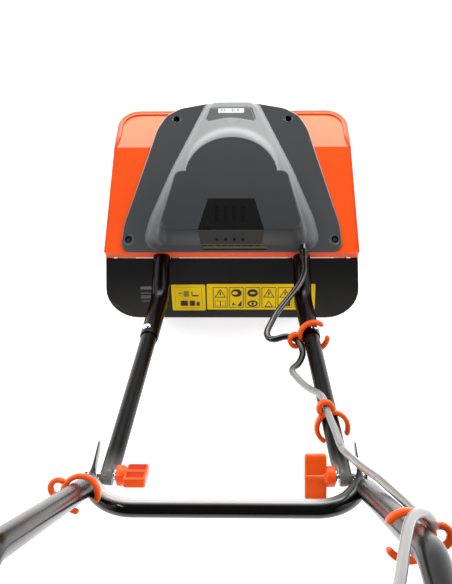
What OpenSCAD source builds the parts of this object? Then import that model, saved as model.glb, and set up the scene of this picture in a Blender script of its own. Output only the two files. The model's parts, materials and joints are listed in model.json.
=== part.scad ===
// Electric single-stage snow thrower: a moulded hood over a belt-driven rotor, two small
// transport wheels, and a tubular push handle that folds at two wing knobs.
// +X is the operator's right, +Y is forward, +Z is up.  The origin is on the ground, below
// the middle of the whole machine.  Most pieces are placed from the "deck": the lower rear
// edge of the hood, at [0, deck_y, deck_z].

/* [Body] */
// Half width of the hood at its rear edge
hood_half = 190; // [180:1:200]
// Height of the hood's rear edge above the ground
deck_z = 200; // [195:1:210]
// Length of the hood, rear edge to front edge
hood_len = 251; // [248:1:254]
// Wall thickness of the moulded shells
wall = 3; // [2:0.5:3.5]

/* [Rotor] */
// Radius at the tips of the rotor paddles
rotor_r = 76; // [70:1:77]
// Radius of the inside of the rotor housing
housing_r = 84; // [82:1:85]
// Diameter of the rotor shaft
rotor_shaft_d = 16; // [12:1:18]

/* [Drive] */
// Outside diameter of the motor casing
motor_d = 84; // [76:1:84]
// Diameter of the motor shaft
motor_shaft_d = 12; // [8:1:12]
// Radius of the belt line on the motor pulley
motor_pulley_r = 12; // [10:0.5:14]
// Radius of the belt line on the rotor pulley
rotor_pulley_r = 54; // [48:0.5:54]

/* [Wheels] */
// Diameter of the transport wheels
wheel_d = 92; // [84:1:92]
// Width of the tyres
tyre_w = 26; // [20:1:30]
// Diameter of the wheel axle
axle_d = 10; // [8:1:10]

/* [Handle] */
// Outside diameter of the lower sleeves
sleeve_d = 26; // [26:0.5:27]
// Outside diameter of the middle tubes
middle_d = 22; // [20:0.5:22]
// Outside diameter of the upper handle tube
upper_d = 24; // [22:0.5:24]
// Angle of the middle tubes above the horizontal
middle_angle = 29; // [27:0.5:31]
// Angle of the long part of the upper handle above the horizontal
upper_angle = 68.8; // [66:0.2:71]
// Half the distance between the upper handle's side tubes
upper_half = 162.5; // [162:0.5:166]
// Diameter of the fold bolts
bolt_d = 8; // [6:1:8]

/* [Hidden] */
$fn = 48;
fine = 96;

// Overall reach: the front of the machine, and the grip bar behind it
front_reach = 262;
grip = [-724.8, 755.3];
foam_d = 33;

// Hood: height of the rear band, and the crease and front edge of the top
band_h = 16;
crease = [176, 33];
hood_front = [hood_len, 22];
crease_half = hood_half - 7;
front_half = hood_half - 11.5;
corner_r = 34;
rim_w = 7;
rim_h = 2.5;
skirt_h = 22;
cover_slope = atan2(crease[1] - band_h, crease[0]);

// Rear apron: foot of its slope, flare of its sides and its corner radius
apron_foot = [-60, -85];
apron_len = norm(apron_foot);
apron_tilt = atan2(-apron_foot[1], -apron_foot[0]);
apron_half_top = hood_half - 1;
apron_half_foot = hood_half + 5.8;
apron_r = 48;
apron_lip = 16;

// Rotor chamber
rotor_c = [165, -106];
plate_in = 170;
plate_t = 3;
bay_x = -148;
deflector_a = 75;
chamber = [bay_x + plate_t, plate_in];
paddle_x = [bay_x + 8, plate_in - 6];

// Motor and belt
motor_c = [68, 0];
motor_x = [-66, 66];
belt_t = 5;
belt_w = 12;
belt_x = -159;
belt_gap = 0.3;

// Wheels and frame plates
axle_c = [24, -154];
wheel_x = 122;
frame_x = 90.4;

// Handle: sleeves bend at the bend point and run up to the fold bolts
sleeve_half = 105;
sleeve_front = 50;
bend_y = -70;
fold_s = 358;
fold_half = 137.5;
sleeve_s = 93;
screw_s = 82;
tube_wall = 1.2;
middle_dir = [0, -cos(middle_angle), sin(middle_angle)];
fold = [fold_half, bend_y + fold_s * middle_dir[1], fold_s * middle_dir[2]];
bolt_gap = 0.05;

// Brace: legs outside the fold bolts, crossbar behind them
brace_half = 156.4;
brace_angle = 32.8;
brace_dir = [0, -cos(brace_angle), sin(brace_angle)];
brace_d = 22;
brace_flat = 12;
brace_back = 54;
brace_tip = 60;
brace_r = 40;

// Upper handle
upper_start = [upper_half, fold[1] - 16.6, fold[2] + 10.7];
upper_dir = [0, -cos(upper_angle), sin(upper_angle)];
upper_len = 430;
knee = upper_start + upper_len * upper_dir;
grip_angle = atan2(grip[1] - knee[2], knee[1] - grip[0]);
box_x = [30, 100];

// The hood line is deck_y ahead of the origin, midway between the front and the switch box
box_back = 12 + 10 * sin(grip_angle) + 8 * cos(grip_angle);
deck_y = (-grip[0] + box_back - front_reach) / 2;

// Cable routes, deck coordinates, from the gland to the switch box
cable_d = 9;
cable_low = [
    [107, -12, 23], [107, -33, 21], [99, -55, 21], [84, -77, 22], [67, -102, 26], [58, -121, 30],
    [52, -137, 34], [54, -147, 37], [63, -150, 39], [77, -147, 41], [89, -150, 43],
    [96, -160, 49], [100, -176, 56], [98, -188, 62], [93, -199, 68], [86, -207, 73],
    [85, -214, 77], [90, -223, 82], [98, -236, 91], [107, -249, 105], [115, -260, 121],
    [120, -270, 131], [123, -282, 137], [126, -299, 147], [132, -324, 161], [137, -347, 173]
];
// Each stretch starts a hair beyond the last one and in the same direction
function onward(p) = let (n = len(p), end = p[n - 1], dir = unit(end - p[n - 2]))
    [end + 0.3 * dir, end + 7 * dir];
cable_mid = concat(onward(cable_low), [
    [143, -361, 188], [148, -374, 210], [153, -389, 237], [158, -403, 264], [164, -419, 295]
]);
cable_high = concat(onward(cable_mid), [
    [172, -443, 337], [178, -466, 380], [181, -490, 430], [181, -510, 478], [179, -518, 508],
    [172, -516, 532], [161, -517, 552], [150, -528, 572], [141, -552, 598], [131, -584, 630],
    [116, -622, 664], [100, -656, 692], [90, -676, 706], [88, -692, 722]
]);

// ---- helpers -------------------------------------------------------------------------

module at_deck() translate([0, deck_y, deck_z]) children();

// Frame of the sloping hood top: local Z leaves the surface, local Y climbs forward
module on_cover() at_deck() translate([0, 0, band_h]) rotate([cover_slope, 0, 0]) children();

// Frame of the rear apron: local Y runs down the slope, local Z faces the operator
module on_apron() at_deck() rotate([apron_tilt - 180, 0, 0]) mirror([0, 0, 1]) children();

// Frame of the grip bar: local Z continues the side tubes, local Y faces up and forward
module at_grip() at_deck() translate([0, grip[0], grip[1]]) rotate([90 - grip_angle, 0, 0])
    children();

// Extrudes a [y, z] outline along X between two planes
module across(x0, x1) translate([x0, 0, 0]) rotate([90, 0, 90]) linear_extrude(x1 - x0) children();

// A cylinder along X centred on the [y, z] point
module xcyl(c, d, x0, x1) translate([x0, c[0], c[1]]) rotate([0, 90, 0])
    cylinder(d = d, h = x1 - x0);

module both_sides() { children(); mirror([1, 0, 0]) children(); }

function unit(v) = v / norm(v);

// Points of a corner [x, y, r] rounded between its neighbours
function corner(a, p, b, steps = 8) =
    let (q = [p[0], p[1]], u = unit([a[0], a[1]] - q), v = unit([b[0], b[1]] - q),
         half = acos(max(-1, min(1, u * v))) / 2, r = p[2], c = q + unit(u + v) * r / sin(half),
         from = q + u * r / tan(half) - c, to = q + v * r / tan(half) - c,
         a0 = atan2(from[1], from[0]), turn = atan2(to[1], to[0]) - a0,
         sweep = turn > 180 ? turn - 360 : turn < -180 ? turn + 360 : turn)
    [for (i = [0:steps]) c + r * [cos(a0 + sweep * i / steps), sin(a0 + sweep * i / steps)]];

// A closed outline whose corners [x, y, r] are rounded where r is above zero
function rounded(pts) = let (n = len(pts)) [for (i = [0:n - 1], q =
    pts[i][2] > 0 ? corner(pts[(i + n - 1) % n], pts[i], pts[(i + 1) % n])
                  : [[pts[i][0], pts[i][1]]]) q];

function mirrored(pts) = [for (i = [len(pts) - 1:-1:0]) [-pts[i][0], pts[i][1], pts[i][2]]];
function inset_x(pts, d) = [for (p = pts) [p[0] - d * sign(p[0]), p[1], max(0, p[2] - d)]];

// Orientation that carries Z onto the unit vector w, with X kept level where possible
function basis(w) = let (s = abs(w[0]) > 0.99 ? [0, 1, 0] : [1, 0, 0], v = unit(cross(w, s)),
    u = cross(v, w)) [[u[0], v[0], w[0], 0], [u[1], v[1], w[1], 0], [u[2], v[2], w[2], 0]];

module aim(p, w) translate(p) multmatrix(basis(unit(w))) children();

// One straight of a pipe, and one bend of radius R between the unit directions d0 and d1;
// t is the wall, and 0 makes them solid
module ring(r, t) difference() {
    circle(r = r);
    if (t > 0) circle(r = r - t);
}
module straight(a, b, r, t = 0) aim(a, b - a) linear_extrude(norm(b - a)) ring(r, t);
module elbow(p, d0, d1, R, r, t = 0) {
    turn = acos(d0 * d1);
    n = unit(cross(d0, d1));
    e = cross(d0, n);
    c = p - d0 * R * tan(turn / 2) - e * R;
    multmatrix([[e[0], d0[0], n[0], c[0]], [e[1], d0[1], n[1], c[1]], [e[2], d0[2], n[2], c[2]]])
        rotate_extrude(angle = turn) translate([R, 0]) ring(r, t);
}

// A tube along a path of [x, y, z, bend radius] points.  The straights are a hair thicker than
// the bends and run a little way over them, so that each joint is one clean step.
lap = 0.8;
hair = 0.03;
module pipe(path, r, t = 0) {
    n = len(path);
    p = [for (q = path) [q[0], q[1], q[2]]];
    d = [for (i = [0:n - 2]) unit(p[i + 1] - p[i])];
    cut = [for (i = [0:n - 1]) i == 0 || i == n - 1 ? 0
        : path[i][3] * tan(acos(d[i - 1] * d[i]) / 2) - lap];
    for (i = [0:n - 2]) straight(p[i] + d[i] * cut[i], p[i + 1] - d[i] * cut[i + 1], r + hair,
        t > 0 ? t + 2 * hair : 0);
    for (i = [1:n - 2]) elbow(p[i], d[i - 1], d[i], path[i][3], r, t);
}

// A flexible cord swept along points as one closed skin
function tangent(p, i) = unit(p[min(i + 1, len(p) - 1)] - p[max(i - 1, 0)]);
module cord(p, d, sides = 10) {
    n = len(p);
    pts = [for (i = [0:n - 1]) let (t = tangent(p, i), u = unit(cross(t, [0, 1, 1.7])),
        v = cross(t, u)) for (k = [0:sides - 1])
            p[i] + d / 2 * (cos(360 * k / sides) * u + sin(360 * k / sides) * v)];
    skin = [for (i = [0:n - 2], k = [0:sides - 1]) let (a = i * sides + k,
        b = i * sides + (k + 1) % sides) [a, b, b + sides, a + sides]];
    polyhedron(pts, concat(skin, [[for (k = [sides - 1:-1:0]) k]],
        [[for (k = [0:sides - 1]) (n - 1) * sides + k]]), convexity = 8);
}

// ---- shells --------------------------------------------------------------------------

function hood_plan(d) = let (h = [[hood_half - d, d, 3], [crease_half - d, crease[0], 0],
    [front_half - d, hood_len - d, corner_r - d]]) concat(h, mirrored(h));

// Side outline of the hood's top, lowered by d
function hood_side(d, foot) = [[-1, foot], [-1, band_h - d], [0, band_h - d],
    [crease[0], crease[1] - d], [hood_front[0] + 1, hood_front[1] - d],
    [hood_front[0] + 1, foot]];

module hood_block(inset, lower, foot) intersection() {
    translate([0, 0, foot]) linear_extrude(crease[1] + 10 - foot) polygon(rounded(hood_plan(inset)));
    across(-hood_half - 1, hood_half + 1) polygon(hood_side(lower, foot));
}

// Raised bead along the front edge and round its corners
module hood_rim() intersection() {
    hood_block(0, -rim_h, 0);
    translate([0, crease[0] + 20, 0]) linear_extrude(60) difference() {
        translate([-hood_half, 0]) square([2 * hood_half, 100]);
        translate([0, -20 - crease[0]]) polygon(rounded(hood_plan(rim_w)));
    }
}

module hood() color("orangered") at_deck() difference() {
    union() {
        hood_block(0, 0, -skirt_h);
        hood_rim();
    }
    hood_block(wall, wall, -skirt_h - 1);
    // the front is open below the lip, and the rear band below the apron's top edge
    translate([-plate_in, crease[0], -skirt_h - 1]) cube([2 * plate_in, 100, skirt_h + 9]);
    translate([-hood_half + 12, -1, -skirt_h - 1]) cube([2 * hood_half - 24, 12, skirt_h + 1]);
    // window for the motor
    translate([-84, 18, 0]) cube([168, 112, 50]);
    both_sides() translate([sleeve_half, -1, 0]) rotate([-90, 0, 0])
        cylinder(d = sleeve_d + 0.4, h = 6);
}

module apron_sheet(d) {
    h = [[apron_half_top - d, d, 2], [apron_half_foot - d, apron_len - d, apron_r - d]];
    polygon(rounded(concat(h, mirrored(h))));
}

module rear_panel() color([0.1, 0.1, 0.1]) difference() {
    union() {
        on_apron() difference() {
            translate([0, 0, -apron_lip]) linear_extrude(apron_lip) apron_sheet(0);
            translate([0, 0, -apron_lip - 1]) linear_extrude(apron_lip + 1 - wall) apron_sheet(wall);
        }
    }
    // the top edge tucks in under the hood's rear band
    at_deck() translate([-200, -30, 0]) cube([400, 100, 40]);
    at_deck() translate([-200, -0.5, -60]) cube([400, 60, 80]);
    at_deck() both_sides() translate([sleeve_half, -90, 0]) rotate([-90, 0, 0])
        cylinder(d = sleeve_d + 0.4, h = 110);
}

module chamber_profile() {
    translate(rotor_c) difference() {
        circle(r = housing_r + wall, $fn = fine);
        circle(r = housing_r, $fn = fine);
        polygon([[0, 0], 300 * [cos(deflector_a), sin(deflector_a)], [300, 300], [300, -300],
            [0, -300]]);
    }
    a = rotor_c + housing_r * [cos(deflector_a), sin(deflector_a)];
    polygon([a, [243, 12], [241.6, 15], a + wall * [cos(deflector_a), sin(deflector_a)]]);
    translate([rotor_c[0], rotor_c[1] - housing_r - wall]) square([36, wall]);
}

module rotor_housing() color([0.12, 0.12, 0.12]) at_deck() intersection() {
    across(chamber[0], chamber[1]) chamber_profile();
    // the deflector stays inside the rounded front corners of the hood
    union() {
        translate([-200, -100, -230]) cube([400, 400, 200]);
        translate([0, 0, -31]) linear_extrude(80) polygon(rounded(hood_plan(wall + 0.3)));
    }
}

module bay_wall() color([0.12, 0.12, 0.12]) at_deck() difference() {
    across(bay_x, bay_x + plate_t) difference() {
        translate(rotor_c) circle(r = housing_r + wall + 1, $fn = fine);
        translate(rotor_c + [-150, -housing_r - wall]) mirror([0, 1]) square([300, 20]);
    }
    xcyl(rotor_c, 40, bay_x - 1, bay_x + plate_t + 1);
}

module side_plate_outline() polygon(rounded([
    [14, 8, 2], [175, 27, 0], [228, 19, 3], [228, -24, 3], [243, -34, 10], [252, -112, 40],
    [front_reach, -188, 4], [256, -197, 4], [80, -197, 8], [20, -110, 40], [-22, -70, 10],
    [4, -10, 6]
]));

module side_plate(side) color("orangered") at_deck() difference() {
    across(side * plate_in + (side < 0 ? -plate_t : 0), side * plate_in + (side < 0 ? 0 : plate_t))
        side_plate_outline();
    xcyl(rotor_c, 32.2, side * plate_in - 5, side * plate_in + 5);
}
module side_plate_left() side_plate(-1);
module side_plate_right() side_plate(1);

module scraper_blade() color([0.15, 0.15, 0.15]) at_deck()
    across(-plate_in, plate_in) polygon([[172, -deck_z], [214, -deck_z],
        [205, rotor_c[1] - housing_r - wall], [172, rotor_c[1] - housing_r - wall]]);

// ---- motor cover ---------------------------------------------------------------------

flange_half = [[151, 0.6, 0], [165, 4, 14], [162, 44, 0], [128, 168, 0], [117, 206, 20],
    [103, 230, 14], [83, 244, 16], [42, 252.5, 0]];
flange_inner = [[151, 3, 0], [162, 7, 12], [125, 168, 0], [114, 205, 18], [101, 227, 12],
    [82, 241, 14], [42, 249, 0]];
frame_half = [[106, 0.8, 0], [131, 12, 22], [122, 53, 0], [92, 136, 0], [41, 247, 14],
    [26, 255, 0]];
frame_top = [[100, 8, 0], [116, 20, 18], [104, 70, 0], [80, 136, 0], [30, 240, 12],
    [20, 246, 0]];
arch_low = [[80, 20, 0], [74, 128, 30], [38, 196, 36], [10, 204, 0]];
arch_top = [[66, 30, 0], [62, 126, 26], [30, 168, 30], [6, 173, 0]];
wide_low = [[117, 7, 20], [88, 122, 12]];
wide_top = [[106, 19, 14], [82, 113, 12]];
cover_levels = [3, 14, 44];
screw_spots = [[154, 20], [87.5, 225]];

function both(pts) = concat(pts, mirrored(pts));
module slab(pts, z, d) translate([0, 0, z]) linear_extrude(0.1) polygon(rounded(both(inset_x(pts, d))));
module step(low, high, z0, z1, d) hull() { slab(low, z0, d); slab(high, z1 - d - 0.1, d); }

module cover_form(d) {
    step(frame_half, frame_top, -1, cover_levels[1], d);
    step(arch_low, arch_top, cover_levels[1] - 4, cover_levels[2], d);
    step(wide_low, wide_top, cover_levels[1] - 4, cover_levels[2], d);
}

module vent_outline(d) polygon([[-34 + d, 68 - d], [34 - d, 68 - d], [47 - d, 23 + d],
    [-47 + d, 23 + d]]);

module motor_cover() color([0.3, 0.31, 0.32]) difference() {
    on_cover() difference() {
        union() {
            translate([0, 0, -22]) linear_extrude(22 + cover_levels[0])
                polygon(rounded(both(flange_half)));
            cover_form(0);
        }
        cover_form(wall);
        translate([0, 0, -23]) linear_extrude(22.5) polygon(rounded(both(flange_inner)));
        both_sides() for (s = screw_spots) translate([s[0], s[1], -40]) cylinder(r = 5.4, h = 60);
        // seat of the vent grille
        translate([0, 0, cover_levels[2] - wall - 2]) linear_extrude(20) vent_outline(0);
    }
    // underneath, the cover follows the top of the hood and its rim
    at_deck() hood_block(0, 0, -60);
    at_deck() hood_rim();
}

module vent_grille() color([0.1, 0.1, 0.1]) on_cover() difference() {
    translate([0, 0, cover_levels[2] - wall]) linear_extrude(wall + 0.4) vent_outline(0.2);
    for (i = [-3:3], v = [30, 47]) translate([i * 8.5 - 2, v, cover_levels[2] - wall - 1])
        cube([4, 11, 10]);
}

module name_plate() color([0.9, 0.9, 0.9]) on_cover()
    translate([-22, 230.5, cover_levels[1]]) cube([40, 10.5, 0.8]);

module data_plate() color([0.4, 0.33, 0.15]) on_cover() translate([-41, 3, 5])
    rotate([62, 0, 0]) cube([94, 9, 0.4]);

module cover_screws() color([0.08, 0.08, 0.08]) on_cover() both_sides()
    for (s = screw_spots) translate([s[0], s[1], s[1] > 200 ? -16 : -9]) {
        cylinder(r = 5, h = 9);
        translate([0, 0, 9]) cylinder(r = 3.2, h = 1.6, $fn = 6);
    }

module label(x0, x1, v0, v1) color("gold") on_apron() translate([x0, v0, 0])
    cube([x1 - x0, v1 - v0, 0.4]);
module info_label_left() label(-93, -40.5, 46, 91);
module info_label_right() label(-38.5, 127, 45, 89.5);

// ---- drive ---------------------------------------------------------------------------

module motor_casing() color([0.35, 0.35, 0.36]) at_deck() difference() {
    union() {
        xcyl(motor_c, motor_d, motor_x[0], motor_x[1]);
        xcyl(motor_c, 30, motor_x[0] - 6, motor_x[0]);
    }
    xcyl(motor_c, motor_d - 26, motor_x[0] + 5, motor_x[1] - 5);
    xcyl(motor_c, motor_shaft_d + 2 * bolt_gap, motor_x[0] - 10, motor_x[1] + 10);
}

module armature() color([0.6, 0.45, 0.3]) at_deck() {
    xcyl(motor_c, motor_shaft_d, belt_x - 9.5, motor_x[1] + 20);
    xcyl(motor_c, motor_d - 30, motor_x[0] + 16, motor_x[1] - 16);
}

module cooling_fan() color([0.2, 0.2, 0.2]) at_deck() difference() {
    union() {
        xcyl(motor_c, 66, motor_x[1] + 3, motor_x[1] + 5);
        xcyl(motor_c, 22, motor_x[1] + 3, motor_x[1] + 14);
        for (a = [0:45:315]) translate([motor_x[1] + 5, motor_c[0], motor_c[1]]) rotate([a, 0, 0])
            translate([0, 9, -1]) cube([9, 23, 2]);
    }
    xcyl(motor_c, motor_shaft_d, motor_x[1], motor_x[1] + 30);
}

module pulley(c, r, bore) difference() {
    union() {
        xcyl(c, 2 * r - 0.2, belt_x - belt_w / 2 - 1, belt_x + belt_w / 2 + 1);
        xcyl(c, 2 * r + 7, belt_x - belt_w / 2 - 2.5, belt_x - belt_w / 2 - 0.7);
        xcyl(c, 2 * r + 7, belt_x + belt_w / 2 + 0.7, belt_x + belt_w / 2 + 2.5);
    }
    xcyl(c, bore, belt_x - 20, belt_x + 20);
}
module motor_pulley() color([0.55, 0.55, 0.57]) at_deck() pulley(motor_c, motor_pulley_r, motor_shaft_d);
module rotor_pulley() color([0.16, 0.16, 0.17]) at_deck() difference() {
    pulley(rotor_c, rotor_pulley_r, rotor_shaft_d);
    for (a = [0:60:300]) xcyl(rotor_c + 32 * [cos(a), sin(a)], 20, belt_x - 20, belt_x + 20);
}

// Outline of a belt round two wheels: arcs joined by the common outer tangents
function belt_loop(c0, r0, c1, r1, n = 24) =
    let (d = c1 - c0, along = atan2(d[1], d[0]), lean = acos((r0 - r1) / norm(d)))
    concat([for (i = [0:n]) let (a = along + lean + (360 - 2 * lean) * i / n)
                c0 + r0 * [cos(a), sin(a)]],
           [for (i = [0:n]) let (a = along - lean + 2 * lean * i / n) c1 + r1 * [cos(a), sin(a)]]);

module drive_belt() color([0.05, 0.05, 0.05]) at_deck() across(belt_x - belt_w / 2, belt_x + belt_w / 2)
    difference() {
        polygon(belt_loop(rotor_c, rotor_pulley_r + belt_t, motor_c, motor_pulley_r + belt_t));
        polygon(belt_loop(rotor_c, rotor_pulley_r + belt_gap, motor_c, motor_pulley_r + belt_gap));
    }

module motor_cradle() color([0.4, 0.4, 0.42]) at_deck() difference() {
    union() for (x = [-50, 38]) across(x, x + 12) polygon([
        [26, -22], [30, -52], [78, -92], [114, -40], [112, -8]]);
    xcyl(motor_c, motor_d, -100, 100);
    xcyl(rotor_c, 2 * (housing_r + wall), -100, 100);
}

module rotor_shaft() color([0.75, 0.75, 0.76]) at_deck()
    xcyl(rotor_c, rotor_shaft_d, -plate_in - 7, plate_in + 7);

module rotor_hub() color([0.15, 0.15, 0.15]) at_deck() difference() {
    union() {
        xcyl(rotor_c, 40, paddle_x[0], paddle_x[1]);
        for (x = [paddle_x[0], 8, paddle_x[1] - 4]) xcyl(rotor_c, 110, x, x + 4);
    }
    xcyl(rotor_c, rotor_shaft_d, paddle_x[0] - 1, paddle_x[1] + 1);
}

// One paddle: a blade that leaves the hub and curls forward to the tip
module paddle_outline() intersection() {
    difference() {
        translate([rotor_r / 2 + 6, -14]) circle(r = rotor_r / 2 + 4);
        translate([rotor_r / 2 + 6, -21]) circle(r = rotor_r / 2 + 4);
        circle(r = 20);
    }
    circle(r = rotor_r, $fn = fine);
    translate([0, -10]) square([200, 200]);
}
module rotor_paddles() color([0.08, 0.08, 0.08]) at_deck() difference() {
    across(paddle_x[0] + 6, paddle_x[1] - 6) translate(rotor_c)
        for (a = [20, 200]) rotate(a) paddle_outline();
    xcyl(rotor_c, 40, paddle_x[0] - 1, paddle_x[1] + 1);
    xcyl(rotor_c, 110, 8, 12);
}

module rotor_bearing(side) color([0.7, 0.7, 0.72]) at_deck() {
    x = side * (plate_in + 1.5);
    difference() {
        union() {
            xcyl(rotor_c, 32, x - 3.4, x + 3.4);
            xcyl(rotor_c, 44, side < 0 ? x - 4 : x + 1.6, side < 0 ? x - 1.6 : x + 4);
        }
        xcyl(rotor_c, rotor_shaft_d + 2 * bolt_gap, x - 10, x + 10);
    }
}
module rotor_bearing_left() rotor_bearing(-1);
module rotor_bearing_right() rotor_bearing(1);

// ---- chassis and wheels --------------------------------------------------------------

module frame_plate(side) color([0.15, 0.15, 0.15]) at_deck() difference() {
    across(side * frame_x - 1.5, side * frame_x + 1.5) polygon(rounded([
        [-8, -60, 4], [0, -2, 4], [46, -2, 4], [110, -36, 2], [60, -80, 0], [66, -130, 4],
        [40, -170, 10], [8, -170, 10], [6, -120, 8]]));
    xcyl(rotor_c, 2 * (housing_r + wall) + 0.4, -200, 200);
    xcyl(motor_c, 36, -200, 200);
    xcyl(axle_c, axle_d, -200, 200);
}
module frame_plate_left() frame_plate(-1);
module frame_plate_right() frame_plate(1);

module wheel_axle() color([0.75, 0.75, 0.76]) at_deck()
    xcyl(axle_c, axle_d, -wheel_x - 17, wheel_x + 17);

module wheel(side) color([0.1, 0.1, 0.1]) at_deck() translate([side * wheel_x, axle_c[0], axle_c[1]])
    rotate([0, 90, 0]) difference() {
        union() {
            rotate_extrude($fn = fine) polygon(rounded([[30, -tyre_w / 2, 2],
                [wheel_d / 2, -tyre_w / 2, 5], [wheel_d / 2, tyre_w / 2, 5], [30, tyre_w / 2, 2]]));
            cylinder(r = 31, h = 6, center = true, $fn = fine);
            cylinder(r = 10, h = tyre_w, center = true);
        }
        cylinder(d = axle_d + 2 * bolt_gap, h = 60, center = true);
        for (a = [0:60:300]) rotate(a) translate([20, 0, 0]) cylinder(r = 5, h = 20, center = true);
    }
module wheel_left() wheel(-1);
module wheel_right() wheel(1);

module wheel_cap(side) color([0.7, 0.7, 0.72]) at_deck()
    translate([side * (wheel_x + tyre_w / 2 + 0.4), axle_c[0], axle_c[1]]) rotate([0, side * 90, 0])
        difference() {
            cylinder(d = 20, h = 2);
            translate([0, 0, -1]) cylinder(d = axle_d, h = 4);
        }
module wheel_cap_left() wheel_cap(-1);
module wheel_cap_right() wheel_cap(1);

// ---- handle tubes --------------------------------------------------------------------

bend_pt = [sleeve_half, bend_y, 0];
fold_pt = [fold[0], fold[1], fold[2]];
tube_dir = unit(fold_pt - bend_pt);
across_tube = unit(cross([1, 0, 0], middle_dir));
// the sleeve screws lean outward
screw_up = unit((across_tube[2] > 0 ? across_tube : -across_tube) + [0.33, 0, 0]
    - 0.33 * tube_dir[0] * tube_dir);

module screw_hole(d) translate(bend_pt + screw_s * tube_dir) aim([0, 0, 0], screw_up)
    translate([0, 0, -30]) cylinder(d = d, h = 60);

module sleeve_right() difference() {
    pipe([[sleeve_half, sleeve_front, 0, 0], concat(bend_pt, 60),
        concat(bend_pt + sleeve_s * tube_dir, 0)], sleeve_d / 2, (sleeve_d - middle_d) / 2 - 0.1);
    screw_hole(6);
}
module lower_sleeve_left() color([0.05, 0.05, 0.05]) at_deck() mirror([1, 0, 0]) sleeve_right();
module lower_sleeve_right() color([0.05, 0.05, 0.05]) at_deck() sleeve_right();

module middle_right() difference() {
    a = bend_pt + 34 * tube_dir;
    b = fold_pt + 12 * tube_dir;
    union() {
        difference() {
            straight(a, b, middle_d / 2);
            straight(a - tube_dir, b - 50 * tube_dir, middle_d / 2 - tube_wall);
        }
    }
    screw_hole(6);
    // the end is pressed flat on its inner side round the bolt
    aim(fold_pt - 66 * tube_dir, tube_dir) translate([-30 - 5.5, -30, 0]) cube([30, 60, 90]);
    xcyl([fold[1], fold[2]], bolt_d + 2 * bolt_gap, fold_half - 30, fold_half + 30);
}
module middle_tube_left() color([0.06, 0.06, 0.06]) at_deck() mirror([1, 0, 0]) middle_right();
module middle_tube_right() color([0.06, 0.06, 0.06]) at_deck() middle_right();

module tube_screws() color([0.85, 0.85, 0.86]) at_deck() both_sides()
    aim(bend_pt + screw_s * tube_dir, screw_up) {
        translate([0, 0, -17]) cylinder(d = 6, h = 17 + sleeve_d / 2);
        translate([0, 0, sleeve_d / 2]) difference() {
            translate([0, 0, -5.5]) sphere(r = 8.5);
            translate([0, 0, -20]) cube([40, 40, 40], center = true);
        }
    }
module tube_nuts() color([0.8, 0.8, 0.82]) at_deck() both_sides()
    aim(bend_pt + screw_s * tube_dir, screw_up) translate([0, 0, -sleeve_d / 2 - 5]) difference() {
        cylinder(d = 11, h = 5, $fn = 6);
        translate([0, 0, -1]) cylinder(d = 6, h = 8);
    }

// ---- fold joint ----------------------------------------------------------------------

brace_in = brace_half - brace_flat / 2;
brace_out = brace_half + brace_flat / 2;
flat_in = fold_half - 7;
washer_t = 1.5;
hub_x = flat_in - 0.3 - washer_t - 0.3;
hub_len = 11;
wing_len = 25;

module fold_bolts() color([0.8, 0.8, 0.82]) at_deck() both_sides() {
    xcyl([fold[1], fold[2]], bolt_d, hub_x - 20, brace_out);
    xcyl([fold[1], fold[2]], 18, brace_out, brace_out + 3);
}
module fold_washers() color([0.85, 0.85, 0.86]) at_deck() both_sides() difference() {
    xcyl([fold[1], fold[2]], 18, flat_in - 0.3 - washer_t, flat_in - 0.3);
    xcyl([fold[1], fold[2]], bolt_d, flat_in - 10, flat_in + 10);
}

// A knob: round hub and stem, with a flat wing whose corners are cut off
module knob_form(turn) difference() {
    union() {
        xcyl([fold[1], fold[2]], 25, hub_x - hub_len, hub_x);
        xcyl([fold[1], fold[2]], 14, hub_x - hub_len - wing_len + 4, hub_x - hub_len + 2);
        translate([hub_x - hub_len, fold[1], fold[2]]) rotate([turn, 0, 0])
            translate([0, 0, -6]) linear_extrude(12) polygon([[1, -24], [-1.5, -26.5],
                [2.5 - wing_len, -26.5], [-wing_len, -24], [-wing_len, 24], [2.5 - wing_len, 26.5],
                [-1.5, 26.5], [1, 24]]);
    }
    xcyl([fold[1], fold[2]], bolt_d + 2 * bolt_gap, hub_x - 21, hub_x + 1);
}
module knob_left() color("orangered") at_deck() mirror([1, 0, 0]) knob_form(-55);
module knob_right() color("orangered") at_deck() knob_form(26);

// The brace: flat legs outside the bolts, run back into a round crossbar
module cross_brace() color([0.05, 0.05, 0.05]) at_deck() difference() {
    start = 18 * brace_dir;
    back = brace_back * brace_dir;
    union() {
        both_sides() aim([brace_half, fold[1], fold[2]], brace_dir)
            translate([-brace_flat / 2, -10, -brace_tip]) cube([brace_flat, 20, brace_tip + 22]);
        pipe([concat([-brace_half, fold[1], fold[2]] + start, 0),
            concat([-brace_half, fold[1], fold[2]] + back, brace_r - 5),
            concat([brace_half, fold[1], fold[2]] + back, brace_r - 5),
            concat([brace_half, fold[1], fold[2]] + start, 0)], brace_d / 2, tube_wall);
    }
    xcyl([fold[1], fold[2]], bolt_d, -200, 200);
}

function side_path(s) = [concat([s * upper_start[0], upper_start[1], upper_start[2]], 0),
    [s * upper_half, knee[1], knee[2], 90], [s * upper_half, grip[0], grip[1], 60]];

module upper_handle() color([0.05, 0.05, 0.05]) at_deck() {
    l = side_path(-1);
    r = side_path(1);
    pipe([l[0], l[1], l[2], r[2], r[1], r[0]], upper_d / 2, tube_wall);
}

module foam_grip() color([0.1, 0.1, 0.1]) at_deck() difference() {
    xcyl(grip, foam_d, -100, box_x[0] - 12);
    xcyl(grip, upper_d + 0.1, -110, box_x[0]);
}

// ---- switch box ----------------------------------------------------------------------

lever_pivot = [0, -38];
module box_section(d) polygon(rounded([[-22 + d, -54 + d, 8 - d], [22 - d, -54 + d, 8 - d],
    [22 - d, 20 - d, 12 - d], [-22 + d, 20 - d, 12 - d]]));

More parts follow.
